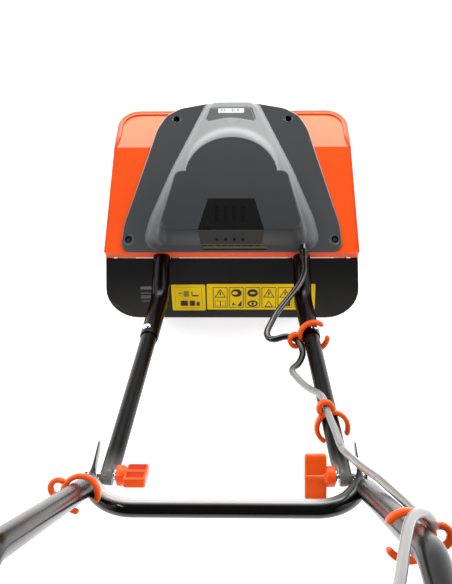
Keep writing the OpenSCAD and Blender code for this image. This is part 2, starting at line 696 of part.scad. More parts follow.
module switch_half(y0, y1) at_grip() difference() {
    intersection() {
        across(box_x[0], box_x[1]) box_section(0);
        translate([0, y0, -80]) cube([200, y1 - y0, 160]);
    }
    difference() {
        across(box_x[0] + wall, box_x[1] - wall) box_section(wall);
        // collar round the handle bar
        xcyl([0, 0], upper_d + 6, box_x[0], box_x[1]);
    }
    xcyl([0, 0], upper_d + 0.1, 0, 200);
    // openings for the lever, the button, the inlet and the cable
    xcyl(lever_pivot, 8 + 2 * bolt_gap, box_x[0] - 1, box_x[0] + 12);
    translate([(box_x[0] + box_x[1]) / 2 - 8, 10, -28]) cube([16, 20, 14]);
    translate([52, 0, -60]) cylinder(d = 26, h = 20);
    translate([88, 0, -60]) cylinder(d = cable_d + 5, h = 20);
}
module switch_box_front() color([0.1, 0.1, 0.1]) switch_half(0, 30);
module switch_box_rear() color([0.1, 0.1, 0.1]) switch_half(-30, 0);

module power_inlet() color([0.15, 0.15, 0.15]) at_grip() translate([52, 0, -66]) {
    difference() {
        cylinder(d = 26, h = 30);
        translate([0, 0, -1]) cylinder(d = 21, h = 20);
    }
    for (x = [-4.5, 4.5]) translate([x, 0, 4]) cylinder(d = 3, h = 16);
}

module lock_button() color("orangered") at_grip()
    translate([(box_x[0] + box_x[1]) / 2 - 7.6, 10, -27.6]) cube([15.2, 17, 13.2]);

module bail_lever() color("orangered") at_grip() {
    // the pivot pin inside the box, the arm and the bar along the grip
    xcyl(lever_pivot, 8, box_x[0] - 6, box_x[0] + 7);
    xcyl(lever_pivot, 12, box_x[0] - 9, box_x[0] - 2);
    across(box_x[0] - 9, box_x[0] - 2) polygon([[-4, -44], [6, -44], [46, -4], [46, 6], [38, 6]]);
    across(-96, box_x[0] - 2) polygon(rounded([[36, -10, 3], [46, -10, 3], [46, 12, 3], [40, 12, 2]]));
}

// ---- cable ---------------------------------------------------------------------------

gland = [107, 23];
module cable_gland() color([0.05, 0.05, 0.05]) at_deck() translate([gland[0], 8, gland[1]])
    rotate([90, 0, 0]) {
        cylinder(d = 11, h = 10);
        translate([0, 0, 7]) cylinder(d = 14, h = 3.5);
        translate([0, 0, 10]) cylinder(d1 = 13, d2 = 10.5, h = 12);
    }

module cable_lower() color([0.04, 0.04, 0.04]) at_deck() cord(cable_low, cable_d);
module cable_bend() color([0.04, 0.04, 0.04]) at_deck() cord(cable_mid, cable_d);
module cable_upper() color([0.04, 0.04, 0.04]) at_deck() cord(cable_high, cable_d);

// A spring clip: a wide open ring that leans on the tube, with a small ring for the cable.
// The small ring lies in the direction turn, and the mouth in the direction mouth.
clip_in = 16.5;
clip_wall = 6;
loop_at = clip_in + 9;
module clip(tube_d, turn, mouth, gape) rotate([0, 0, turn])
    translate([tube_d / 2 + 0.2 - clip_in, 0, 0]) difference() {
        union() {
            cylinder(r = clip_in + clip_wall, h = 10, center = true);
            translate([loop_at, 0, 0]) cylinder(r = 11.5, h = 10, center = true);
        }
        cylinder(r = clip_in, h = 20, center = true);
        translate([loop_at, 0, 0]) cylinder(r = 5.5, h = 20, center = true);
        rotate([0, 0, mouth - turn]) translate([0, 0, -10]) linear_extrude(20)
            polygon([[0, 0], 60 * [cos(gape), -sin(gape)], 60 * [cos(gape), sin(gape)]]);
    }

// Direction of the middle tubes tipped up by a further angle
function tipped(a) = [tube_dir[0], -cos(middle_angle + a), sin(middle_angle + a)];
function on_upper(side, s) = [side * upper_half, upper_start[1], upper_start[2]] + s * upper_dir;

// Room for the sleeve, its screw head and the middle tube inside the tipped clips
module tube_room() {
    aim(bend_pt + screw_s * tube_dir, screw_up) cylinder(r = 9, h = sleeve_d / 2 + 3.6);
    straight(bend_pt + 50 * tube_dir, bend_pt + (sleeve_s + 0.3) * tube_dir, sleeve_d / 2 + 0.15);
    straight(bend_pt + 50 * tube_dir, fold_pt, middle_d / 2 + 0.15);
}
module cable_clip_bend() color("orangered") at_deck() difference() {
    aim(bend_pt + 92 * tube_dir + [0, 1.2, 1.2], tipped(25)) clip(sleeve_d, 192, 25, 25);
    tube_room();
}
module cable_clip_middle() color("orangered") at_deck() difference() {
    aim(bend_pt + 268 * tube_dir, tipped(30)) clip(middle_d, 110, -73, 44);
    tube_room();
}
module cable_clip_left() color("orangered") at_deck()
    aim(on_upper(-1, 60), upper_dir) clip(upper_d, 165, -60, 35);
module cable_clip_right() color("orangered") at_deck()
    aim(on_upper(1, 345), upper_dir) clip(upper_d, 0, 180, 30);

hood();
rear_panel();
rotor_housing();
bay_wall();
side_plate_left();
side_plate_right();
scraper_blade();
motor_cover();
vent_grille();
name_plate();
cover_screws();
data_plate();
info_label_left();
info_label_right();
motor_casing();
armature();
cooling_fan();
motor_pulley();
motor_cradle();
drive_belt();
rotor_pulley();
rotor_shaft();
rotor_hub();
rotor_paddles();
rotor_bearing_left();
rotor_bearing_right();
frame_plate_left();
frame_plate_right();
wheel_axle();
wheel_left();
wheel_right();
wheel_cap_left();
wheel_cap_right();
lower_sleeve_left();
lower_sleeve_right();
middle_tube_left();
middle_tube_right();
tube_screws();
tube_nuts();
fold_bolts();
fold_washers();
knob_left();
knob_right();
cross_brace();
upper_handle();
foam_grip();
switch_box_front();
switch_box_rear();
power_inlet();
lock_button();
bail_lever();
cable_gland();
cable_lower();
cable_bend();
cable_upper();
cable_clip_bend();
cable_clip_middle();
cable_clip_left();
cable_clip_right();
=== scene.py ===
import bpy
import bmesh
import json
import math
import numpy as np
from mathutils import Matrix, Vector

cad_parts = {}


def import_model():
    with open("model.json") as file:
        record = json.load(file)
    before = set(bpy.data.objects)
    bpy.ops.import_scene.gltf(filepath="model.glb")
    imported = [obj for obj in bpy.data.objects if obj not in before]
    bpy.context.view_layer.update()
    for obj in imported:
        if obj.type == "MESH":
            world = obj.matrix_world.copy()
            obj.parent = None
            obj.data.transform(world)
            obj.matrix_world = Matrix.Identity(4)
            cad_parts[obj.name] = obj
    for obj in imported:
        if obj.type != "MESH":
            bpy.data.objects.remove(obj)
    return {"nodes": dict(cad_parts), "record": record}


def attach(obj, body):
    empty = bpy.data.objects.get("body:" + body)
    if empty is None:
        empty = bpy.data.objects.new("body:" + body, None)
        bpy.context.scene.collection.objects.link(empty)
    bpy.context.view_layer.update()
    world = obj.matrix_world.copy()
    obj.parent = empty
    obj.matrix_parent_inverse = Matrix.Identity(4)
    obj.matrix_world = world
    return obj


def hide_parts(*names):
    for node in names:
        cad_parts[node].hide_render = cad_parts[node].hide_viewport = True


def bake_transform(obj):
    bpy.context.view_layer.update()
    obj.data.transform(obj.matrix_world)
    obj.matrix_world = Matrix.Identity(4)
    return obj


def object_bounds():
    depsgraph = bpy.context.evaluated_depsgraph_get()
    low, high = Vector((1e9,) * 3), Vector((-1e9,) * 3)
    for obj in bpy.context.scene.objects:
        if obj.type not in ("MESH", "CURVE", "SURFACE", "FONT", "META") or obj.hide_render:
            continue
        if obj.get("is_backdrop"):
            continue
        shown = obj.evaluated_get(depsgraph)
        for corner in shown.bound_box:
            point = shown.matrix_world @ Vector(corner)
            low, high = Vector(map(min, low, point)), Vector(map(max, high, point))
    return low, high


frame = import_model()


def write_sizes(key, store={}):
    lo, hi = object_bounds()
    store[key] = [[round(float(a), 6) for a in lo], [round(float(a), 6) for a in hi]]


write_sizes("cad")

DECK = Vector((0.0, 0.243765, 0.2))
SLOPE = math.atan2(17, 176)
TILT = math.atan2(85, 60)
HOOD_EDGE = 16
ORANGE = (0.95, 0.09, 0.008)


def deck(x, y, z):
    """A point given in millimetres from the hood's lower rear edge."""
    return Vector((x, y, z)) / 1000 + DECK


def cover(x, u, w):
    """A point on the sloping top of the hood: across, up the slope, off the surface."""
    return deck(x, u * math.cos(SLOPE) - w * math.sin(SLOPE),
                HOOD_EDGE + u * math.sin(SLOPE) + w * math.cos(SLOPE))


def apron(x, v, w):
    """A point on the rear apron: across, down its slope, off the surface."""
    return deck(x, -v * math.cos(TILT) - w * math.sin(TILT),
                -v * math.sin(TILT) + w * math.cos(TILT))


# ---- materials -----------------------------------------------------------------------

def material(name, base, rough, metal=0.0, coat=0.0, grain=60.0, bump=0.04, tone=0.08,
             rough_var=0.08, spec=0.5):
    """A surface with fine procedural relief, drifting tone and uneven gloss."""
    m = bpy.data.materials.new(name)
    m.use_nodes = True
    nt = m.node_tree
    nt.nodes.clear()
    out = nt.nodes.new("ShaderNodeOutputMaterial")
    bsdf = nt.nodes.new("ShaderNodeBsdfPrincipled")
    coord = nt.nodes.new("ShaderNodeTexCoord")
    slow = nt.nodes.new("ShaderNodeTexNoise")
    fine = nt.nodes.new("ShaderNodeTexNoise")
    slow.inputs["Scale"].default_value = 7.0
    slow.inputs["Detail"].default_value = 4.0
    fine.inputs["Scale"].default_value = grain * 10
    fine.inputs["Detail"].default_value = 3.0
    mix = nt.nodes.new("ShaderNodeMix")
    mix.data_type = "RGBA"
    low = [max(0.0, c * (1 - tone)) for c in base]
    high = [min(1.0, c * (1 + tone)) for c in base]
    mix.inputs["A"].default_value = (*low, 1)
    mix.inputs["B"].default_value = (*high, 1)
    span = nt.nodes.new("ShaderNodeMapRange")
    span.inputs["To Min"].default_value = max(0.02, rough - rough_var)
    span.inputs["To Max"].default_value = min(1.0, rough + rough_var)
    bumps = nt.nodes.new("ShaderNodeBump")
    bumps.inputs["Strength"].default_value = bump
    bumps.inputs["Distance"].default_value = 0.0005
    link = nt.links.new
    link(coord.outputs["Object"], slow.inputs["Vector"])
    link(coord.outputs["Object"], fine.inputs["Vector"])
    link(slow.outputs["Fac"], mix.inputs["Factor"])
    link(slow.outputs["Fac"], span.inputs["Value"])
    link(fine.outputs["Fac"], bumps.inputs["Height"])
    link(mix.outputs["Result"], bsdf.inputs["Base Color"])
    link(span.outputs["Result"], bsdf.inputs["Roughness"])
    link(bumps.outputs["Normal"], bsdf.inputs["Normal"])
    bsdf.inputs["Metallic"].default_value = metal
    bsdf.inputs["Coat Weight"].default_value = coat
    bsdf.inputs["Coat Roughness"].default_value = 0.06
    bsdf.inputs["Specular IOR Level"].default_value = spec
    link(bsdf.outputs["BSDF"], out.inputs["Surface"])
    return m


def span(nt, source, a, b, lo=0.0, hi=1.0):
    """A smooth step of a value from lo to hi between a and b."""
    n = nt.nodes.new("ShaderNodeMapRange")
    n.interpolation_type = "SMOOTHSTEP"
    n.inputs["From Min"].default_value, n.inputs["From Max"].default_value = a, b
    n.inputs["To Min"].default_value, n.inputs["To Max"].default_value = lo, hi
    nt.links.new(source, n.inputs["Value"])
    return n.outputs["Result"]


def calc(nt, kind, p, q):
    """A maths node on two values, either of which may be a plain number."""
    n = nt.nodes.new("ShaderNodeMath")
    n.operation = kind
    for socket, value in zip(n.inputs, (p, q)):
        if isinstance(value, float):
            socket.default_value = value
        else:
            nt.links.new(value, socket)
    return n.outputs["Value"]


def place_nodes(m):
    """The node tree, and the components of the surface's position and normal."""
    nt = m.node_tree
    geo = nt.nodes.new("ShaderNodeTexCoord")
    parts = []
    for name in ("Object", "Normal"):
        split = nt.nodes.new("ShaderNodeSeparateXYZ")
        nt.links.new(geo.outputs[name], split.inputs["Vector"])
        parts.append(split.outputs)
    return nt, geo, parts[0], parts[1]


def tint(m, factor, colour):
    """Mixes a colour over the base colour by a factor."""
    nt = m.node_tree
    bsdf = next(n for n in nt.nodes if n.type == "BSDF_PRINCIPLED")
    base = bsdf.inputs["Base Color"].links[0].from_socket
    mix = nt.nodes.new("ShaderNodeMix")
    mix.data_type = "RGBA"
    nt.links.new(factor, mix.inputs["Factor"])
    nt.links.new(base, mix.inputs["A"])
    mix.inputs["B"].default_value = (*colour, 1)
    nt.links.new(mix.outputs["Result"], bsdf.inputs["Base Color"])


def paint_slope_highlight(m, facing):
    """Lightens the cover where it leans away from its general slope, most of all at the front: a painted
    highlight on the slopes and edges that face the light.
    """
    nt, geo, at, normal = place_nodes(m)
    dot = nt.nodes.new("ShaderNodeVectorMath")
    dot.operation = "DOT_PRODUCT"
    dot.inputs[1].default_value = facing
    nt.links.new(geo.outputs["Normal"], dot.inputs[0])
    gentle = span(nt, dot.outputs["Value"], 0.9996, 0.988, 0.0, 0.62)
    strong = span(nt, dot.outputs["Value"], 0.97, 0.6, 0.0, 0.38)
    ahead = span(nt, at["Y"], 0.23, 0.47, 0.2, 1.0)
    rear = span(nt, normal["Y"], -0.7, -0.12, 0.2, 1.0)
    lean = calc(nt, "ADD", gentle, strong)
    tint(m, calc(nt, "MULTIPLY", lean, calc(nt, "MULTIPLY", ahead, rear)), (0.52, 0.54, 0.535))


def paint_bulge_shade(m):
    """Darkens the high part of the cover toward its rear edge: painted shade."""
    nt, _, at, _ = place_nodes(m)
    height = calc(nt, "ADD", calc(nt, "MULTIPLY", at["Z"], math.cos(SLOPE)),
                  calc(nt, "MULTIPLY", at["Y"], -math.sin(SLOPE)))
    foot = (DECK.z + HOOD_EDGE / 1000) * math.cos(SLOPE) - DECK.y * math.sin(SLOPE)
    high = span(nt, height, foot + 0.02, foot + 0.04)
    tint(m, calc(nt, "MULTIPLY", high, span(nt, at["Y"], 0.42, 0.27, 0.12, 0.5)), (0.013, 0.013, 0.0125))


def paint_hood_highlight(m):
    """Lightens the part of the hood that falls away forward: a painted reflection of the light ahead."""
    nt, _, at, normal = place_nodes(m)
    falls = span(nt, normal["Y"], 0.08, 0.13, 0.0, 0.55)
    tint(m, calc(nt, "MULTIPLY", falls, span(nt, at["Y"], 0.40, 0.48, 0.5, 1.0)), (1.0, 0.25, 0.018))


def paint_brace_highlight(m):
    """A broad soft painted highlight on the crossbar's front side and the inside of the left leg."""
    nt, _, at, normal = place_nodes(m)
    crossbar = calc(nt, "MULTIPLY", span(nt, normal["Y"], -0.02, 0.75, 0.0, 0.9),
                    span(nt, at["X"], 0.13, 0.09, 0.1, 1.0))
    left_leg = calc(nt, "MULTIPLY", span(nt, at["X"], -0.09, -0.13),
                    span(nt, normal["X"], 0.2, 0.75, 0.0, 0.85))
    near = span(nt, at["Y"], -0.138, -0.155)
    tint(m, calc(nt, "MULTIPLY", near, calc(nt, "MAXIMUM", crossbar, left_leg)), (0.72, 0.7, 0.68))


def paint_light_along(m, axis, a, b, most, colour):
    """Paints light along one axis: brings a colour in, from none at a to the most at b."""
    nt, _, at, _ = place_nodes(m)
    tint(m, span(nt, at[axis], a, b, 0.0, most), colour)


M = {
    "hood_orange": material("hood_orange_paint", ORANGE, 0.3, coat=0.25, grain=30, bump=0.02, spec=0.3),
    "cover_grey": material("cover_grey_plastic", (0.049, 0.051, 0.055), 0.5, grain=120, bump=0.05, spec=0.22),
    "black_plastic": material("black_satin_plastic", (0.01, 0.01, 0.0105), 0.28, grain=110, bump=0.04),
    "tube_black": material("tube_powder_coat", (0.003, 0.003, 0.0033), 0.14, coat=0.35, grain=40, bump=0.012),
    "plate_orange": material("plate_orange_coat", (0.85, 0.1, 0.01), 0.35, coat=0.3, grain=40),
    "plate_black": material("plate_black_coat", (0.012, 0.012, 0.013), 0.4, grain=50),
    "bright_steel": material("turned_steel", (0.55, 0.55, 0.57), 0.25, metal=1.0, grain=50),
    "zinc_chrome": material("zinc_plate", (0.78, 0.78, 0.8), 0.12, metal=1.0, grain=40, bump=0.02),
    "motor_steel": material("motor_lamination", (0.25, 0.25, 0.27), 0.35, metal=1.0, grain=60),
    "cast_alloy": material("cast_alloy_grain", (0.45, 0.45, 0.47), 0.4, metal=1.0, grain=80, bump=0.15),
    "paddle_rubber": material("paddle_rubber_grain", (0.014, 0.014, 0.014), 0.6, grain=90, bump=0.15),
    "belt_rubber": material("belt_rubber_grain", (0.01, 0.01, 0.01), 0.65, grain=90, bump=0.15),
    "grip_foam": material("grip_foam_cells", (0.015, 0.015, 0.015), 0.9, grain=160, bump=0.6),
    "cable_black": material("cable_sheath", (0.006, 0.006, 0.006), 0.2, coat=0.4, grain=60, bump=0.02),
    "knob_orange": material("knob_orange_plastic", (1.0, 0.1, 0.006), 0.35, coat=0.15, grain=60,
                            bump=0.02, spec=0.3),
    "label_yellow": material("label_yellow_vinyl", (1.0, 0.64, 0.004), 0.4, grain=60, bump=0.02, spec=0.2),
    "label_white": material("label_white_vinyl", (0.75, 0.75, 0.73), 0.4, grain=60, bump=0.02),
    "label_gold": material("label_gold_foil", (0.2, 0.15, 0.05), 0.35, metal=0.4, grain=60),
    # The bead's orange is a darker copy of the hood paint: painted shade on the rim.
    "bead_orange": material("bead_orange_shaded_paint", (0.9, 0.075, 0.006), 0.3, coat=0.2, grain=30,
                            bump=0.02, spec=0.3),
    # A darker copy of the knob orange: painted shade on the left knob's wing faces.
    "knob_face": material("knob_face_painted_shade", (0.5, 0.028, 0.002), 0.5, grain=60, spec=0.08),
    "sleeve_black": material("sleeve_gloss_coat", (0.002, 0.0014, 0.0012), 0.16, coat=0.0, grain=40,
                             bump=0.01, spec=0.2),
    "middle_black": material("middle_tube_coat", (0.003, 0.0025, 0.0022), 0.2, grain=40, bump=0.012,
                             spec=0.16),
    "apron_black": material("apron_moulding", (0.0035, 0.0036, 0.0038), 0.33, grain=110, bump=0.03,
                            spec=0.3),
    "vent_gloss": material("vent_gloss_black", (0.006, 0.006, 0.0065), 0.2, coat=0.4, grain=60),
    "vent_brown": material("vent_front_lip", (0.016, 0.011, 0.007), 0.45, grain=60, spec=0.22),
    "slot_dark": material("slot_shadow", (0.002, 0.002, 0.002), 0.8, grain=60, spec=0.1),
    "label_print": material("label_ink", (0.015, 0.015, 0.012), 0.45, grain=60),
    "label_faint": material("label_faint_ink", (0.32, 0.22, 0.02), 0.45, grain=60),
    "label_grey": material("label_grey_ink", (0.3, 0.3, 0.3), 0.5, grain=60),
    "pale_print": material("pale_moulded_print", (0.12, 0.12, 0.12), 0.5, grain=60),
    "cover_dark": material("cover_recess", (0.085, 0.088, 0.088), 0.5, grain=110, bump=0.08),
    "handle_black": material("handle_coat", (0.003, 0.003, 0.0032), 0.24, coat=0.05, grain=40,
                             bump=0.012, spec=0.2),
    "brace_black": material("brace_coat", (0.003, 0.003, 0.0033), 0.16, coat=0.3, grain=40, bump=0.012),
}
paint_slope_highlight(M["cover_grey"], (0, -math.sin(SLOPE), math.cos(SLOPE)))
paint_bulge_shade(M["cover_grey"])
paint_hood_highlight(M["hood_orange"])
paint_brace_highlight(M["brace_black"])
# Painted reflection: the apron turns grey toward its lower edge.
paint_light_along(M["apron_black"], "Z", 0.185, 0.105, 0.8, (0.032, 0.031, 0.026))
# Painted highlight: the middle tubes turn grey toward their flattened ends.
paint_light_along(M["middle_black"], "Y", -0.1, -0.15, 0.3, (0.5, 0.48, 0.46))
# Painted highlight: the lead turns pale from partway along the lower tubes onward to the grip.
paint_light_along(M["cable_black"], "Y", 0.045, 0.02, 0.45, (0.6, 0.6, 0.59))

# ---- the CAD nodes -------------------------------------------------------------------

SLOT_OF = {s["node"]: s["material_slot"] for s in frame["record"]["subparts"]}
SOFT_EDGE = {"hood": 0.0012, "motor_cover": 0.0012, "rear_panel": 0.0025, "cross_brace": 0.002}

for name, ob in frame["nodes"].items():
    ob.data.materials.clear()
    ob.data.materials.append(M["apron_black"] if name == "rear_panel" else M[SLOT_OF[name]])
    weld = ob.modifiers.new("weld", "WELD")
    weld.merge_threshold = 0.00002
    soft = ob.modifiers.new("soft", "BEVEL")
    soft.width = SOFT_EDGE.get(name, 0.0006)
    soft.segments = 2
    soft.limit_method = "ANGLE"
    soft.angle_limit = math.radians(35)
    soft.harden_normals = False

# ---- building helpers ----------------------------------------------------------------

def place(name, verts, faces, body, slot_name, mats, face_mat=None, replaced=(), smooth=True,
          sharp=35):
    """Makes a mesh piece in the CAD's frame and lets it ride with a CAD body."""
    me = bpy.data.meshes.new(name)
    me.from_pydata([tuple(v) for v in verts], [], faces)
    for m in mats:
        me.materials.append(m)
    if face_mat is not None:
        me.polygons.foreach_set("material_index", face_mat)
    me.validate()
    b = bmesh.new()
    b.from_mesh(me)
    bmesh.ops.recalc_face_normals(b, faces=b.faces)
    b.to_mesh(me)
    b.free()
    if smooth:
        me.polygons.foreach_set("use_smooth", [True] * len(me.polygons))
        me.set_sharp_from_angle(angle=math.radians(sharp))
    ob = bpy.data.objects.new(name, me)
    bpy.context.scene.collection.objects.link(ob)
    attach(ob, body)
    if replaced:
        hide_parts(*replaced)
    return ob


def ease(t):
    """A smooth start and end for a share from 0 to 1."""
    return t * t * (3 - 2 * t)


def ring_faces(rows, sides):
    """Faces between successive rings of points."""
    return [(j * sides + k, j * sides + (k + 1) % sides, (j + 1) * sides + (k + 1) % sides,
             (j + 1) * sides + k) for j in range(rows) for k in range(sides)]


def end_faces(rows, sides):
    """The caps of a skin that has this many rows of faces."""
    return [tuple(range(sides))[::-1], tuple(rows * sides + k for k in range(sides))]


def arc_corner(a, p, b, steps=8):
    """Points of the corner p = (x, y, r) rounded between its neighbours."""
    q, r = Vector(p[:2]), p[2]
    u, v = (Vector(a[:2]) - q).normalized(), (Vector(b[:2]) - q).normalized()
    half = u.angle(v) / 2
    c = q + (u + v).normalized() * r / math.sin(half)
    start, end = q + u * r / math.tan(half) - c, q + v * r / math.tan(half) - c
    a0, turn = math.atan2(start.y, start.x), start.angle_signed(end)
    return [(c.x + r * math.cos(a0 - turn * i / steps), c.y + r * math.sin(a0 - turn * i / steps))
            for i in range(steps + 1)]


def rounded(pts, steps=8):
    """A closed outline of (x, y, corner radius) points with its corners rounded."""
    out = []
    for i, p in enumerate(pts):
        if p[2] > 0:
            out += arc_corner(pts[i - 1], p, pts[(i + 1) % len(pts)], steps)
        else:
            out.append((p[0], p[1]))
    return out


def both(half):
    """A half outline and its mirror image, as one closed outline."""
    return list(half) + [(-x, y, r) for x, y, r in reversed(half)]


def fillet_path(pts, step=4.0):
    """A path of (x, y, z, bend radius) points as closely spaced points with round bends."""
    out = []
    for i, p in enumerate(pts):
        q, r = Vector(p[:3]), p[3]
        if r <= 0 or i in (0, len(pts) - 1):
            out.append(q)
            continue
        u = (Vector(pts[i - 1][:3]) - q).normalized()
        v = (Vector(pts[i + 1][:3]) - q).normalized()
        half = u.angle(v) / 2
        c = q + (u + v).normalized() * r / math.sin(half)
        e0 = (q + u * r / math.tan(half) - c).normalized()
        n = u.cross(v).normalized()
        turn = math.pi - 2 * half
        count = max(4, int(r * turn / step))
        for k in range(count + 1):
            out.append(c + (Matrix.Rotation(-turn * k / count, 3, n) @ e0) * r)
    return out


def spaced(pts, step):
    """The same path with points no further apart than step."""
    out = [pts[0]]
    for a, b in zip(pts, pts[1:]):
        n = max(1, int((b - a).length / step))
        out += [a.lerp(b, k / n) for k in range(1, n + 1)]
    return out


def sweep(pts, section, sides=24, normal=None):
    """Verts and faces of a skin along pts; section(i) gives the two half widths."""
    verts = []
    n = len(pts)
    u = None
    for i, p in enumerate(pts):
        t = (pts[min(i + 1, n - 1)] - pts[max(i - 1, 0)]).normalized()
        if normal is not None:
            v = Vector(normal).normalized()
            u = v.cross(t).normalized()
        else:
            base = u if u is not None else (Vector((1, 0, 0)) if abs(t.x) < 0.9 else Vector((0, 0, 1)))
            u = (base - t * base.dot(t)).normalized()
            v = t.cross(u)
        a, b = section(i)
        for k in range(sides):
            w = 2 * math.pi * k / sides
            verts.append(deck(*(p + u * (a * math.cos(w)) + v * (b * math.sin(w)))))
    return verts, ring_faces(n - 1, sides) + end_faces(n - 1, sides)


def catmull(pts, per=6):
    """A smooth curve through pts, with so many points to each stretch."""
    p = [Vector(q) for q in pts]
    out = []
    for i in range(len(p) - 1):
        a, b, c, d = p[max(i - 1, 0)], p[i], p[i + 1], p[min(i + 2, len(p) - 1)]
        for k in range(per):
            t = k / per
            out.append(0.5 * ((2 * b) + (c - a) * t + (2 * a - 5 * b + 4 * c - d) * t * t
                              + (3 * b - a - 3 * c + d) * t * t * t))
    return out + [p[-1]]


def prism(outline, frame_fn, w0, w1):
    """Verts and faces of a flat outline between two heights of a local frame."""
    n = len(outline)
    verts = [frame_fn(x, y, w0) for x, y in outline] + [frame_fn(x, y, w1) for x, y in outline]
    faces = [tuple(range(n))[::-1], tuple(range(n, 2 * n))]
    faces += [(i, (i + 1) % n, n + (i + 1) % n, n + i) for i in range(n)]
    return verts, faces


class Parts:
    """Gathers several closed shapes, each with its own material, into one piece."""

    def __init__(self):
        self.verts, self.faces, self.mat = [], [], []

    def add(self, shape, mat=0):
        verts, faces = shape
        k = len(self.verts)
        self.verts += list(verts)
        self.faces += [tuple(i + k for i in f) for f in faces]
        self.mat += [mat] * len(faces)

    def add_all(self, shapes, mat=0):
        for shape in shapes:
            self.add(shape, mat)

    def place(self, name, body, slot_name, mats, **more):
        return place(name, self.verts, self.faces, body, slot_name, mats, self.mat, **more)


def lathe(profile, at, axis, sides=48):
    """A body of revolution: profile of (radius, height) along axis from at, in deck mm."""
    axis = Vector(axis).normalized()
    u = axis.orthogonal().normalized()
    v = axis.cross(u)
    verts = []
    for r, h in profile:
        for k in range(sides):
            w = 2 * math.pi * k / sides
            verts.append(deck(*(Vector(at) + axis * h + (u * math.cos(w) + v * math.sin(w)) * r)))
    rows = len(profile) - 1
    return verts, ring_faces(rows, sides) + end_faces(rows, sides)


# ---- motor cover ---------------------------------------------------------------------

FLANGE = rounded(both([(151, 0.6, 0), (165, 4, 14), (162, 44, 110), (128, 168, 160), (117.5, 207, 60),
                       (104, 231, 26), (82, 244.5, 40), (42, 252.5, 0)]), 10)
FRAME_LOW = rounded(both([(106, 0.8, 0), (131, 12, 22), (123, 53, 120), (92, 136, 0), (42, 248, 12),
                          (28, 258, 5)]))
FRAME_TOP = rounded(both([(104, 6, 0), (123, 16, 18), (115, 53, 110), (85, 133, 0), (36.5, 243, 10),
                          (26, 252, 6)]))
CONE_TOP = rounded(both([(74, 30, 0), (70, 122, 34), (46, 176, 30), (20, 190, 20)]))
DOME_LOW = [(70.5 * math.cos(a), 137.5 + 73 * math.sin(a)) for a in np.linspace(0, math.pi, 49)] + [
    (-74, 20), (74, 20)]
DOME_TOP = [(69 * math.cos(a), 107 + 69 * math.sin(a)) for a in np.linspace(0, math.pi, 49)] + [
    (-69, 30), (69, 30)]
WIDE_LOW = rounded(both([(117, 7, 20), (88, 122, 14)]))
WIDE_TOP = rounded(both([(107.5, 17.5, 14), (83.5, 115, 12)]))
CREST = 44.0
COVER_MID = (0, 118)


def inside(p, outline):
    """Signed distance of points to an outline, positive inside."""
    best = np.full(len(p), 1e9)
    cross = np.zeros(len(p), int)
    q = np.array(outline, float)
    for a, b in zip(q, np.roll(q, -1, 0)):
        d = b - a
        t = np.clip(((p - a) @ d) / (d @ d + 1e-12), 0, 1)
        best = np.minimum(best, np.linalg.norm(p - a - t[:, None] * d, axis=1))
        if abs(d[1]) > 1e-9:
            hit = (p[:, 1] >= min(a[1], b[1])) & (p[:, 1] < max(a[1], b[1]))
            cross += hit & (p[:, 0] < a[0] + (p[:, 1] - a[1]) / d[1] * d[0])
    return np.where(cross % 2 == 1, best, -best)


def ramp(p, low, top, z0, z1, most=1.0):
    """Height of a raised form whose drafted sides run from the low outline to the top one."""
    a, b = inside(p, low), -inside(p, top)
    width = np.maximum(a + b, 0.5)
    t = np.where(b > 0, a / np.maximum(a + b, 1e-6), np.minimum(1 - b / width, most))
    return np.where(a > 0, z0 + (z1 - z0) * np.clip(t, 0, most), -50.0)


def soft_max(a, b, k):
    """The larger of two heights, blended over a width of k where they cross."""
    h = np.clip(k - np.abs(a - b), 0, None) / k
    return np.maximum(a, b) + h * h * k * 0.25


def cover_height(p):
    """Height of the cover over the hood: rim, A-shaped frame, round dome and wide rear box."""
    edge = ramp(p, FRAME_LOW, FRAME_TOP, 2.0, 9.0, 4.0)
    cone = ramp(p, FRAME_TOP, CONE_TOP, 9.0, 19.0)
    cone = np.where(cone > 0, cone, 9.0)
    h = soft_max(np.full(len(p), 3.0), -soft_max(-edge, -cone, 3.0), 3.0)
    dome = ramp(p, DOME_LOW, DOME_TOP, 7.0, CREST, 1.6)
    wide = ramp(p, WIDE_LOW, WIDE_TOP, 6.0, CREST, 1.6)
    h = soft_max(h, soft_max(dome, wide, 2.0), 5.0)
    return -soft_max(-h, np.full(len(p), -CREST), 8.0)


def seat_height(u):
    """Where the flange meets the hood, which falls away beyond its crease."""
    return -0.1 if u < 177 else (-0.1 - 0.243 * (u - 177) if u < 249 else -21.0)


BADGE = [(-33, 240.5, 3), (29, 240.5, 3), (38, 214, 4), (-2, 220.5, 60), (-42, 214, 4)]


